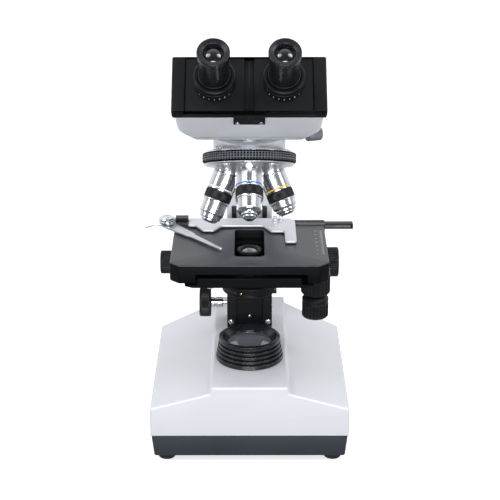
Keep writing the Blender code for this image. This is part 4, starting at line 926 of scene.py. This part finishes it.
def build_stage_controls():
    """Two coaxial fluted knobs: lengthwise grooves of a raised cosine, deeper on the upper one."""
    low, high = corners("stage_y_knob")
    x, y = (low.x + high.x) / 2, (low.y + high.y) / 2
    count = sizes().knob_flutes
    radius = (high.x - low.x) / 2
    profile = [(2.8, high.z), (radius - 2.0, high.z), (radius - 0.4, high.z - 1.6),
               (radius - 0.4, high.z - 6),
               (radius, high.z - 6.6), (radius, low.z + 2.4), (radius - 2.2, low.z), (2.8, low.z)]
    lathe("y_knob_grip", "y_knob", profile, upright(x, y), [moulded_black()], edge=0.8, fine=1.2, loop=True,
          wave=flutes(count, 0.75, low.z + 1.6, high.z - 7.2, 0.6), steps=count * 10,
          replaces=["stage_y_knob"],
          slot="black_plastic")
    low, high = corners("stage_x_knob")
    radius = (high.x - low.x) / 2
    profile = [(0, high.z - 0.6), (radius - 3.2, high.z - 0.6), (radius - 2.4, high.z),
               (radius, high.z - 2.2),
               (radius, high.z - 5), (radius - 0.5, high.z - 5.4), (radius - 0.5, high.z - 6.2),
               (radius, high.z - 6.6),
               (radius, low.z + 1.4), (radius - 1.4, low.z), (radius - 4, low.z), (radius - 4.6, low.z + 0.5),
               (0, low.z + 0.5)]
    lathe("x_knob_grip", "x_knob", profile, upright(x, y), [moulded_black()], edge=0.6, fine=1.2,
          wave=flutes(count, 0.7, low.z + 1.2, high.z - 6.8, 0.6), steps=count * 10,
          replaces=["stage_x_knob"],
          slot="black_plastic")
    low, high = corners("stage_control_column")
    profile = [(0, high.z), (4, high.z), (4, corners("stage_y_knob")[1].z + 0.4),
               (2.4, corners("stage_y_knob")[1].z),
               (2.4, low.z), (0, low.z)]
    lathe("control_post", "stage_y", profile, upright(x, y), [satin_black()],
          replaces=["stage_control_column"],
          slot="black_enamel")


# ---------------------------------------------------------------- condenser

def build_condenser():
    """Body with its iris ring and slot, domed lens, lever, filter and knob."""
    low, high = corners("condenser_body")
    ring, top = high.x, high.z
    ring_top = top - 30.0
    profile = [(7.4, top - 0.9), (9.0, top), (11.0, top), (12.5, top - 1.2), (12.5, top - 8),
               (21.5, top - 19),
               (21.5, ring_top), (ring - 0.8, ring_top), (ring, ring_top - 0.9), (ring, ring_top - 2.6),
               (ring - 0.5, ring_top - 3.0), (ring - 0.5, low.z + 1.8), (ring, low.z + 1.4), (ring, low.z),
               (20.2, low.z), (20.2, ring_top - 1.2), (7.4, ring_top + 12)]
    lathe("condenser_barrel", "condenser", profile, upright(), [satin_black()], edge=0.5, loop=True,
          replaces=["condenser_body"], slot="black_enamel")
    angle = np.linspace(math.radians(182), math.radians(242), 40)
    section = [(ring - 0.55, 3.2), (ring + 0.02, 3.0), (ring + 0.02, 0.2), (ring - 0.55, 0.0)]
    rows = np.stack([np.column_stack([r * np.cos(angle), r * np.sin(angle), np.full(40, low.z + 2.6 + z)])
                     for r, z in section], 1)
    skin("iris_slot", "condenser", rows, upright(), [rubber()])
    spot = math.radians(252)
    radial = Vector((math.cos(spot), math.sin(spot), 0))
    place = place_at(AXIS + (radial * (ring - 0.45) + Vector((0, 0, low.z + 4.2))) * MM, radial, (0, 0, 1))
    screw_head("iris_screw", "condenser", place, 1.1, 0.5, brass())
    low, high = corners("condenser_lens")
    t = np.linspace(0, 1, 9)
    dome = np.column_stack([7.1 * t, high.z + 0.1 - 2.1 * t ** 2])
    # The condenser lens is opaque grey: a painted reflection standing in for the light grey glare on clear
    # glass.
    lathe("condenser_lens_glass", "condenser", np.concatenate([dome, [(7.1, low.z), (0, low.z)]]), upright(),
          [lamp_glass_and_painted_reflection()], edge=0.0, replaces=["condenser_lens"], slot="clear_glass")
    assign("condenser_carrier", satin_black(), 0.5)
    assign("filter_holder", satin_black(), 0.0)
    assign("blue_filter", finish("blue_glass", (0.1, 0.22, 0.6), 0.08, grain=200, bump=0.0, spread=0.02,
                                 shade=0.02,
                                 coat=1.0), 0.0)
    low, high = corners("iris_lever")
    z = JOINTS["iris_turn"]["pos_m"][2] / MM + 1.2
    profile = [(0, 39.3), (1.2, 39.2), (2.1, 38.2), (2.2, 37), (2.2, 34.2), (1.5, 33.2), (1.1, 32.2),
               (1.1, 19.0),
               (0, 19.0)]
    lathe("iris_handle", "iris", profile, place_at(AXIS + Vector((0, 0, z - 2.2)) * MM, (-1, 0, 0),
                                                   (0, 0, 1)), [chrome()],
          edge=0.4, steps=32, replaces=["iris_lever"], slot="chrome")
    lathe("iris_plate", "iris", [(19.6, 1.1), (19.6, -1.1), (10, -1.1), (10, 1.1)], upright(0, 0, z),
          [chrome()],
          loop=True, slot="chrome")
    pos = JOINTS["condenser_knob_turn"]["pos_m"]
    place = place_at(pos, (-1, 0, 0), (0, 0, 1))
    profile = [(0, 47.9), (11.6, 47.9), (12.2, 48.6), (13.1, 48.6), (14.0, 47.7), (14.0, 38.4), (13.1, 37.5),
               (5.2, 37.5), (4.8, 37.0), (4.8, 34.0), (4.3, 33.6), (4.3, 32.8), (4.8, 32.4), (4.8, 26.4),
               (4.3, 26.0),
               (1.85, 26.0), (1.85, 9.9), (0, 9.9)]
    lathe("condenser_knob_grip", "condenser_drive", profile, place, [moulded_black(), chrome()], fine=1.2,
          wave=flutes(60, 0.4, 38.6, 47.5), steps=360, bands=[(1, 5.0, 37.3)], replaces=["condenser_knob"],
          slot="black_plastic")


# ---------------------------------------------------------------- nosepiece

def nose_place():
    joint = JOINTS["turret_turn"]
    return place_at(joint["pos_m"], joint["axis"], (1, 0, 0))


def build_nosepiece():
    """Plated mount, square-knurled ring, polished cone with a collar for each objective."""
    place = nose_place()
    profile = [(0, -28.3), (28, -28.3), (35.2, -29.4), (37.6, -31.0), (38.0, -31.7), (38.0, -32.1),
               (0, -32.1)]
    lathe("mount_plate", "stand", profile, place, [chrome()], edge=1.0, replaces=["nosepiece_mount"],
          slot="chrome")
    for n, (x, y) in enumerate(((-24.0, -26.5), (-28.0, -22.0))):
        spot = np.array(Matrix(place.tolist()) @ Matrix.Translation(Vector((x, y, -30.4)) * MM))
        screw_head(f"click_spring_screw_{n}", "stand", spot, 2.1, 2.6, chrome())
    t = np.linspace(math.radians(232), math.radians(308), 60)
    path = np.column_stack([35.4 * np.cos(t), 35.4 * np.sin(t),
                            -29.3 + 0.5 * np.sin(np.linspace(0, math.pi, 60))])
    tube("click_spring", "stand", path, 0.5, place, satin_nickel(), 10)

    start, end, rim = -32.4, -41.1, 41.3
    profile = [(35.0, start), (rim - 1.0, start), (rim, start - 1.0), (rim, end + 1.0), (rim - 1.0, end),
               (35.0, end)]
    teeth = sizes().ring_teeth
    # The knurl's grooves are painted light grey: a painted highlight standing in for the glints on the squares'
    # edges, while the raised squares keep the ring's own black.
    lathe("knurled_ring", "turret", profile, place, [edge_black(), band("groove_painted_highlight", (0.13, 0.14, 0.16))],
          edge=0.3, fine=0.29, loop=True, wave=checks(teeth, 2.05, 0.5, end + 0.9, start - 0.9, rim - 1.1),
          steps=teeth * 6, bands=[(1, end + 1.0, start - 1.0, rim - 1.0),
                                  (0, end + 1.0, start - 1.0, rim - 0.2)],
          replaces=["turret_ring"], slot="black_enamel", sharp=60)
    slope = math.tan(LEAN)

    def cone(radius):
        return -(54.6 * math.cos(LEAN) - 1.2) + (radius - 54.6 * math.sin(LEAN)) * slope

    profile = [(0, -32.9), (34.6, -32.9), (34.6, -41.4), (39.6, -41.4), (39.9, -42.2), (38.2, -43.6),
               (34.2, cone(34.2)),
               (8, cone(8)), (6.4, cone(8) - 1.2), (0, cone(8) - 1.2)]
    lathe("turret_cone", "turret", profile, place, [satin_chrome()], edge=1.2, steps=128,
          replaces=["turret_body"],
          slot="chrome")
    for n in range(4):
        name = ("4x", "100x", "40x", "10x")[n]
        lathe(f"socket_collar_{name}", "turret", [(0, -47), (12.0, -47), (12.0, -54.2), (11.7, -54.5),
                                                  (0, -54.5)],
              objective_place(n), [chrome()], edge=0.5, slot="chrome")


def objective_place(number):
    """Place of an objective's own axis at the apex, with local Z pointing back up through its socket."""
    turn = Matrix.Rotation(math.radians(90 * number), 4, "Z") @ Matrix.Rotation(LEAN, 4, "X")
    return np.array(Matrix(nose_place().tolist()) @ turn)


def build_objectives():
    """Each objective: plated barrel, coloured ring, knurled black grip, lower barrel and a stepped nose."""
    kinds = (("4x", 28.0, 4.0, 8.0, (0.6, 0.03, 0.03), False),
             ("100x", 44.8, 6.0, 9.3, (0.85, 0.85, 0.82), True),
             ("40x", 44.4, 6.0, 7.0, (0.02, 0.2, 0.68), True),
             ("10x", 37.7, 5.0, 9.0, (0.85, 0.5, 0.01), False))
    for n, (name, length, nose, nose_radius, colour, sprung) in enumerate(kinds):
        top, tip = -54.6, -54.6 - length
        low = tip + nose
        grip = top - min(16.0, length * 0.45)
        grip_low = grip - 8.3
        slim = 10.9
        ring_high, ring_low = grip + 2.9, grip + 1.7
        profile = [(0, top), (11.4, top), (12.0, top - 0.6), (12.0, ring_high + 0.15), (11.8, ring_high),
                   (11.8, ring_low), (12.0, ring_low - 0.15), (12.0, grip + 0.3), (11.4, grip),
                   (12.0, grip - 0.5),
                   (12.0, grip_low + 0.5), (11.5, grip_low), (11.7, grip_low - 0.4), (11.7, grip_low - 1.6),
                   (slim, grip_low - 2.0), (slim, low + 2.4), (slim - 0.8, low + 1.2), (slim - 2.4, low),
                   (nose_radius + 0.4, low)]
        bands = [(1, ring_low, ring_high, 11.0), (2, grip_low - 0.1, grip + 0.05, 11.0)]
        materials = [chrome(), band(f"ring_{name}", colour), satin_black(), dark_glass()]
        end_steps = [(nose_radius, low - nose * 0.35), (nose_radius * 0.8, low - nose * 0.5),
                     (nose_radius * 0.8, low - nose * 0.68), (nose_radius * 0.52, tip + 0.1),
                     (nose_radius * 0.42, tip),
                     (nose_radius * 0.3, tip + 0.5), (0, tip + 0.5)]
        glass = (3, tip + 0.2, tip + 0.8)
        if sprung:
            profile += [(nose_radius + 0.4, low + 6), (0, low + 6)]
            nose_profile = [(0, low + 4), (nose_radius, low + 4)] + end_steps
            lathe(f"nose_{name}", f"nose_{name}", nose_profile, objective_place(n), [chrome(), dark_glass()],
                  edge=0.25, bands=[(1, tip + 0.2, tip + 0.8)], steps=64, replaces=[f"objective_{name}_nose"],
                  slot="chrome")
        else:
            profile += end_steps
            bands.append(glass)
        lathe(f"lens_{name}", "turret", profile, objective_place(n), materials, edge=0.3, fine=0.8,
              wave=flutes(64, 0.22, grip_low + 0.7, grip - 0.7, fade=0.4), bands=bands, steps=256,
              replaces=[f"objective_{name}"], slot="chrome")


# ---------------------------------------------------------------- head

def build_head():
    """Housing: rounded rectangles at levels down the slope, narrowing to the level underside."""
    front, back, top = 186.6, 239.0, 270.0
    floor = corners("head_housing")[0].z
    reach = 2 * floor * math.sin(SLOPE)
    last = reach - back
    levels = np.concatenate([np.linspace(top, top - 22, 6), np.linspace(top - 23.5, top - 37, 8),
                             np.linspace(top - 38.5, reach - front + 5, 2),
                             np.linspace(reach - front + 4, last + 0.6, 16)])
    wide = np.interp(levels, [top - 38.0, top - 35.5, top - 25, top - 20, top],
                     [48.5, 50.6, 60.5, 61.7, 63.0])
    soft = fillet([(front, top), (front, reach - front), (back, last)], [0, 4.0, 0], closed=False, steps=8)
    near = np.interp(levels, soft[::-1, 1], soft[::-1, 0])
    rows = []
    for e, half, w in zip(levels, wide, near):
        radius = min(4.5, (back - w) * 0.45)
        flat = fillet(rectangle(-half, half, w, back), radius, steps=6)
        rows.append(np.column_stack([flat, np.full(len(flat), e)]))
    skin("head_casting", "head", np.array(rows), sloped(), [enamel()], sharp=50.0, replaces=["head_housing"],
         slot="white_enamel")
    low, high = corners("head_mount_ring")
    lathe("head_dovetail", "head", [(11, high.z), (25, high.z), (25, high.z - 0.6), (23.6, high.z - 1.5),
                                    (25, high.z - 2.6), (25, low.z + 5.0), (20, low.z + 5.0), (20, low.z),
                                    (11, low.z)],
          upright(), [satin_nickel()], loop=True, edge=0.3, replaces=["head_mount_ring"], slot="satin_steel")
    assign("head_prism", clear_glass(), 0.0)


def build_slider_bed():
    """Bed with raised end caps: one section across the head, carried up the slope."""
    low, top, lip, floor = 270.3, 282.5, 281.3, 277.7
    front, back = 186.6, 239.0
    half = [(64.3, low), (65.0, low + 4.0), (65.0, top), (54.0, top), (54.0, lip), (63.3, lip), (63.3, floor)]
    section = fillet(half + [(-x, e) for x, e in half[::-1]],
                     [0.8, 1, 1.4, 0.9, 0.1, 0.1, 0.1, 0.1, 0.1, 0.1, 0.9, 1.4, 1, 0.8], steps=4)
    place = place_at(AXIS, (0, math.cos(SLOPE), math.sin(SLOPE)), (1, 0, 0))
    flip = section * np.array([1.0, -1.0])
    tower("slider_frame", "head", flip[::-1], rounding(front, back, 0.8), place, [crackle_black()],
          replaces=["slider_bed"], slot="black_plastic")
    for side, name in ((-1, "left"), (1, "right")):
        ribs = [(side * (55.4 + 1.25 * n), front - 0.0, low + 6.4) for n in range(7)]
        tick_row(f"{name}_cap_grip", "head", [(x, w - 0.1, e) for x, w, e in ribs], (0.6, 0.9, 9.0), sloped(),
                 crackle_black())
    slab("spacing_bracket", "head", rectangle(-13.3, 13.3, 262.8, 276.2), -186.5, -184.3,
                   place_at(AXIS, (0, -math.cos(SLOPE), -math.sin(SLOPE)), (1, 0, 0)), [crackle_black()],
                   edge=0.4,
                   corner=0.8)
    for n, x in enumerate((-10.0, 10.0)):
        point = AXIS + (Vector((x, 0, 0)) + slope_point(184.5, 265.4)) * MM
        screw_head(f"bracket_screw_{n}", "head", place_at(point, (0, -math.cos(SLOPE), -math.sin(SLOPE))),
                   1.7, 1.0,
                   chrome())
    tube("plate_gap_rod", "head", np.array([(0.0, w, 276.9) for w in np.linspace(front + 2, back - 2, 20)]),
         1.0,
         sloped(), satin_black())


def slope_point(w, e):
    """A point of the head's middle plane from its two slope distances, in millimetres."""
    return Vector((0, (w - e) * math.sin(SLOPE), (w + e) * math.sin(SLOPE)))


def build_eyes():
    """Slider plates, diopter rings, tubes and eyepieces, one set for each eye."""
    front, back = 186.6, 239.0
    for side, name in ((-1, "left"), (1, "right")):
        x = side * 29.0
        inner, outer = sorted((side * 4.0, side * 53.7))
        outline = fillet(rectangle(inner, outer, front + 0.4, back - 0.4), 1.6)
        tower(f"{name}_plate", f"{name}_slide", outline,
              [(0.6, 278.0), (0, 278.4), (0, 280.2), (0.25, 280.8), (0.9, 281.0)],
              sloped(), [crackle_black()], replaces=[f"{name}_slider_plate"], slot="black_plastic")
        eye = sloped(x) @ np.array(Matrix.Translation(Vector((0, 213.0, 0)) * MM))
        profile = [(14.3, 294.0), (14.3, 294.6), (16.6, 294.8), (17.5, 294.0), (17.5, 291.0), (16.9, 290.4),
                   (16.9, 289.6), (17.5, 289.0), (17.5, 283.0), (17.0, 281.4), (14.3, 281.4)]
        lathe(f"{name}_ring", f"{name}_ring", profile, eye, [satin_black()], edge=0.35, fine=0.9, loop=True,
              wave=flutes(90, 0.12, 289.2, 294.0, fade=0.3), steps=360, replaces=[f"{name}_diopter_ring"],
              slot="black_enamel")
        angles = np.radians(np.arange(225, 316, 15))
        for n, a in enumerate(angles):
            radial = Vector((math.cos(a), math.sin(a), 0))
            turn = Matrix(eye.tolist()) @ Matrix.Translation(Vector((radial.x * 17.45, radial.y * 17.45,
                                                                     285.2)) * MM)
            turn = turn @ Matrix.Rotation(a, 4, "Z")
            long = 2.6 if n in (1, 5) else 1.5
            tick_row(f"{name}_ring_mark_{n}", f"{name}_ring", [(0, 0, 0)], (0.2, 0.55, long), np.array(turn),
                     ring_mark())
        a = math.radians(270 - side * 52)
        turn = Matrix(eye.tolist()) @ Matrix.Translation(Vector((math.cos(a) * 17.4, math.sin(a) * 17.4,
                                                                 286.2)) * MM)
        tick_row(f"{name}_index", f"{name}_ring", [(0, 0, 0)], (0.6, 1.3, 5.0),
                 np.array(turn @ Matrix.Rotation(a, 4, "Z")), brass())
        profile = [(13.7, 296.0), (13.2, 296.6), (11.9, 296.6), (11.9, 284.4), (13.7, 284.4)]
        lathe(f"{name}_tube", f"{name}_tube", profile, eye, [satin_black()], loop=True,
              replaces=[f"{name}_ocular_tube"], slot="black_enamel")
        build_eyepiece(name, eye)


def build_eyepiece(name, eye):
    """A slightly tapered barrel, a bevelled rim round a sunk cup, and a domed coated lens."""
    face = 331.0
    profile = [(0, face - 6.5), (7.9, face - 6.2), (8.4, face - 1.5), (9.0, face - 0.8), (12.4, face),
               (13.0, face),
               (13.6, face - 0.7), (13.6, face - 4.4), (13.3, face - 6.0), (12.6, 303.0), (12.1, 299.0),
               (12.1, 297.2),
               (11.4, 296.9), (11.4, 289.0), (0, 289.0)]
    lathe(f"{name}_eyepiece_barrel", f"{name}_ocular", profile, eye, [barrel_black()], edge=0.45,
          replaces=[f"{name}_eyepiece"], slot="black_plastic")
    t = np.linspace(0, 1, 16)
    dome = np.column_stack([8.0 * t, face - 1.6 - 2.8 * t ** 2])
    lathe(f"{name}_eye_lens", f"{name}_ocular", np.concatenate([dome, [(8.0, face - 6.0), (0, face - 6.0)]]),
          eye,
          [dark_glass()], edge=0.0, slot="clear_glass")


# ---------------------------------------------------------------- studio

def add_light(name, place, target, size, power, shape="RECTANGLE", tall=None):
    data = bpy.data.lights.new(name, "AREA")
    data.shape = shape
    data.size = size
    if tall:
        data.size_y = tall
    data.energy = power * sizes().light
    data.color = (1.0, 0.995, 1.0)
    light = bpy.data.objects.new(name, data)
    light.location = place
    light.rotation_euler = (Vector(target) - Vector(place)).to_track_quat("-Z", "Y").to_euler()
    bpy.context.scene.collection.objects.link(light)
    return light


def build_camera():
    """Long lens in front of the instrument, pitched down, aimed at a point of the optical axis."""
    data = bpy.data.cameras.new("camera")
    data.sensor_width = 36.0
    data.lens = 100.8
    data.clip_end = 50.0
    camera = bpy.data.objects.new("camera", data)
    camera.location = AXIS + CAMERA_OFFSET
    camera.rotation_euler = (math.radians(90) - CAMERA_DOWN, 0, 0)
    camera.rotation_euler.rotate_axis("Z", CAMERA_ROLL)
    bpy.context.scene.collection.objects.link(camera)
    bpy.context.scene.camera = camera


def build_floor():
    """Wide pale floor that glows a little, so that it stays white to the horizon."""
    mesh = bpy.data.meshes.new("floor")
    size = 6.0
    mesh.from_pydata([(-size, -size, 0), (size, -size, 0), (size, size, 0), (-size, size, 0)], [],
                     [(0, 1, 2, 3)])
    white = finish("floor_white", (0.93, 0.93, 0.93), 0.6, grain=60, bump=0.0, spread=0.05, shade=0.003)
    shader = white.node_tree.nodes["Principled BSDF"]
    shader.inputs["Specular IOR Level"].default_value = 0.0
    shader.inputs["Emission Color"].default_value = (1, 1, 1, 1)
    shader.inputs["Emission Strength"].default_value = 0.55
    mesh.materials.append(white)
    floor = bpy.data.objects.new("floor", mesh)
    floor.visible_diffuse = False
    floor.visible_glossy = False
    bpy.context.scene.collection.objects.link(floor)


def build_world():
    """Brightness follows the direction: white behind and above, dark in front and below."""
    world = bpy.data.worlds.new("studio")
    world.use_nodes = True
    tree = world.node_tree
    background = tree.nodes["Background"]
    background.inputs["Strength"].default_value = 1.0
    place = tree.nodes.new("ShaderNodeTexCoord")
    lean = tree.nodes.new("ShaderNodeVectorMath")
    lean.operation = "DOT_PRODUCT"
    lean.inputs[1].default_value = (0.0, 0.98, 0.2)
    ramp = tree.nodes.new("ShaderNodeValToRGB")
    ramp.color_ramp.elements[0].position = 0.0
    ramp.color_ramp.elements[0].color = (0.1, 0.103, 0.11, 1)
    ramp.color_ramp.elements[1].position = 1.0
    ramp.color_ramp.elements[1].color = (1.0, 1.0, 1.02, 1)
    for position, value in ((0.3, 0.18), (0.5, 0.28), (0.75, 0.9)):
        step = ramp.color_ramp.elements.new(position)
        step.color = (value, value * 1.005, value * 1.03, 1)
    half = tree.nodes.new("ShaderNodeMath")
    half.operation = "MULTIPLY_ADD"
    half.inputs[1].default_value = 0.5
    half.inputs[2].default_value = 0.5
    tree.links.new(place.outputs["Generated"], lean.inputs[0])
    tree.links.new(lean.outputs["Value"], half.inputs[0])
    tree.links.new(half.outputs[0], ramp.inputs["Fac"])
    tree.links.new(ramp.outputs["Color"], background.inputs["Color"])
    bpy.context.scene.world = world


def build_studio():
    """Camera, pale floor, two tall soft boxes at the sides with a disk above each and a wide fill in front."""
    bpy.context.scene.view_settings.view_transform = "Standard"
    build_camera()
    build_floor()
    build_world()
    middle = AXIS + Vector((0, 0, 0.2))
    add_light("left_strip", middle + Vector((-1.2, -0.38, 0.75)), middle, 0.3, 5.0, tall=1.3)
    add_light("right_strip", middle + Vector((1.1, -0.48, 0.75)), middle, 0.3, 4.5, tall=1.3)
    add_light("left_disk", middle + Vector((-0.8, -0.52, 1.2)), middle, 0.62, 3.0, "DISK")
    add_light("right_disk", middle + Vector((0.8, -0.52, 1.2)), middle, 0.62, 3.0, "DISK")
    add_light("front_fill", (0.0, -2.1, 0.62), middle, 1.5, 38.0, tall=0.7)


# ---------------------------------------------------------------- operators and panel

class MICROSCOPE_OT_base(bpy.types.Operator):
    """Builds the housing, the tray and the four feet."""
    bl_idname = "microscope.base"
    bl_label = "Base"
    bl_options = {"REGISTER", "UNDO"}

    def execute(self, context):
        build_base()
        return {"FINISHED"}


class MICROSCOPE_OT_illuminator(bpy.types.Operator):
    """Builds the ribbed lamp tower and its field lens."""
    bl_idname = "microscope.illuminator"
    bl_label = "Illuminator"
    bl_options = {"REGISTER", "UNDO"}

    def execute(self, context):
        build_illuminator()
        return {"FINISHED"}


class MICROSCOPE_OT_arm(bpy.types.Operator):
    """Builds the arm casting with its boss, and the head lock screw."""
    bl_idname = "microscope.arm"
    bl_label = "Arm"
    bl_options = {"REGISTER", "UNDO"}

    def execute(self, context):
        build_arm()
        build_lock_screw()
        return {"FINISHED"}


class MICROSCOPE_OT_electrics(bpy.types.Operator):
    """Finishes the inlet, switch, lamp and board, and builds the brightness dial."""
    bl_idname = "microscope.electrics"
    bl_label = "Electrics"
    bl_options = {"REGISTER", "UNDO"}

    def execute(self, context):
        build_electrics()
        return {"FINISHED"}


class MICROSCOPE_OT_focus(bpy.types.Operator):
    """Builds the coarse and fine knobs, the rail and the focusing block's finish."""
    bl_idname = "microscope.focus"
    bl_label = "Focus"
    bl_options = {"REGISTER", "UNDO"}

    def execute(self, context):
        build_focus()
        return {"FINISHED"}


class MICROSCOPE_OT_stage_plates(bpy.types.Operator):
    """Builds the stage plate, its scales and the rack bar."""
    bl_idname = "microscope.stage_plates"
    bl_label = "Stage plates"
    bl_options = {"REGISTER", "UNDO"}

    def execute(self, context):
        build_stage()
        return {"FINISHED"}


class MICROSCOPE_OT_slide_holder(bpy.types.Operator):
    """Builds the slide holder, spring barrel and sprung finger."""
    bl_idname = "microscope.slide_holder"
    bl_label = "Slide holder"
    bl_options = {"REGISTER", "UNDO"}

    def execute(self, context):
        build_slide_holder()
        return {"FINISHED"}


class MICROSCOPE_OT_stage_controls(bpy.types.Operator):
    """Builds the two coaxial knobs under the stage."""
    bl_idname = "microscope.stage_controls"
    bl_label = "Stage controls"
    bl_options = {"REGISTER", "UNDO"}

    def execute(self, context):
        build_stage_controls()
        return {"FINISHED"}


class MICROSCOPE_OT_condenser(bpy.types.Operator):
    """Builds the condenser, iris, filter and condenser knob."""
    bl_idname = "microscope.condenser"
    bl_label = "Condenser"
    bl_options = {"REGISTER", "UNDO"}

    def execute(self, context):
        build_condenser()
        return {"FINISHED"}


class MICROSCOPE_OT_nosepiece(bpy.types.Operator):
    """Builds the mount, the knurled ring and the turret cone."""
    bl_idname = "microscope.nosepiece"
    bl_label = "Nosepiece"
    bl_options = {"REGISTER", "UNDO"}

    def execute(self, context):
        build_nosepiece()
        return {"FINISHED"}


class MICROSCOPE_OT_objectives(bpy.types.Operator):
    """Builds the four objectives and their sprung noses."""
    bl_idname = "microscope.objectives"
    bl_label = "Objectives"
    bl_options = {"REGISTER", "UNDO"}

    def execute(self, context):
        build_objectives()
        return {"FINISHED"}


class MICROSCOPE_OT_head(bpy.types.Operator):
    """Builds the head housing and the slider bed."""
    bl_idname = "microscope.head"
    bl_label = "Head"
    bl_options = {"REGISTER", "UNDO"}

    def execute(self, context):
        build_head()
        build_slider_bed()
        return {"FINISHED"}


class MICROSCOPE_OT_eyes(bpy.types.Operator):
    """Builds the slider plates, diopter rings, tubes and eyepieces."""
    bl_idname = "microscope.eyes"
    bl_label = "Eyes"
    bl_options = {"REGISTER", "UNDO"}

    def execute(self, context):
        build_eyes()
        return {"FINISHED"}


class MICROSCOPE_OT_studio(bpy.types.Operator):
    """Builds the camera, the floor, the world and the lights."""
    bl_idname = "microscope.studio"
    bl_label = "Studio"
    bl_options = {"REGISTER", "UNDO"}

    def execute(self, context):
        build_studio()
        return {"FINISHED"}


OPERATORS = (
    MICROSCOPE_OT_base,
    MICROSCOPE_OT_illuminator,
    MICROSCOPE_OT_arm,
    MICROSCOPE_OT_electrics,
    MICROSCOPE_OT_focus,
    MICROSCOPE_OT_stage_plates,
    MICROSCOPE_OT_slide_holder,
    MICROSCOPE_OT_stage_controls,
    MICROSCOPE_OT_condenser,
    MICROSCOPE_OT_nosepiece,
    MICROSCOPE_OT_objectives,
    MICROSCOPE_OT_head,
    MICROSCOPE_OT_eyes,
    MICROSCOPE_OT_studio,
)


class MICROSCOPE_PT_panel(bpy.types.Panel):
    """Lists the pieces in the sidebar."""
    bl_label = "Microscope"
    bl_idname = "MICROSCOPE_PT_panel"
    bl_space_type = "VIEW_3D"
    bl_region_type = "UI"
    bl_category = "Microscope"

    def draw(self, context):
        for item in OPERATORS:
            self.layout.operator(item.bl_idname)


CLASSES = (MicroscopeSizes, MicroscopeColours, *OPERATORS, MICROSCOPE_PT_panel)


def register():
    for item in CLASSES:
        bpy.utils.register_class(item)
    bpy.types.Scene.microscope_sizes = PointerProperty(type=MicroscopeSizes)
    bpy.types.Scene.microscope_colours = PointerProperty(type=MicroscopeColours)


def unregister():
    del bpy.types.Scene.microscope_colours
    del bpy.types.Scene.microscope_sizes
    for item in reversed(CLASSES):
        bpy.utils.unregister_class(item)


def main():
    register()
    for item in OPERATORS:
        getattr(bpy.ops.microscope, item.bl_idname.split(".")[1])()
    bpy.context.view_layer.update()


if __name__ == "__main__":
    main()
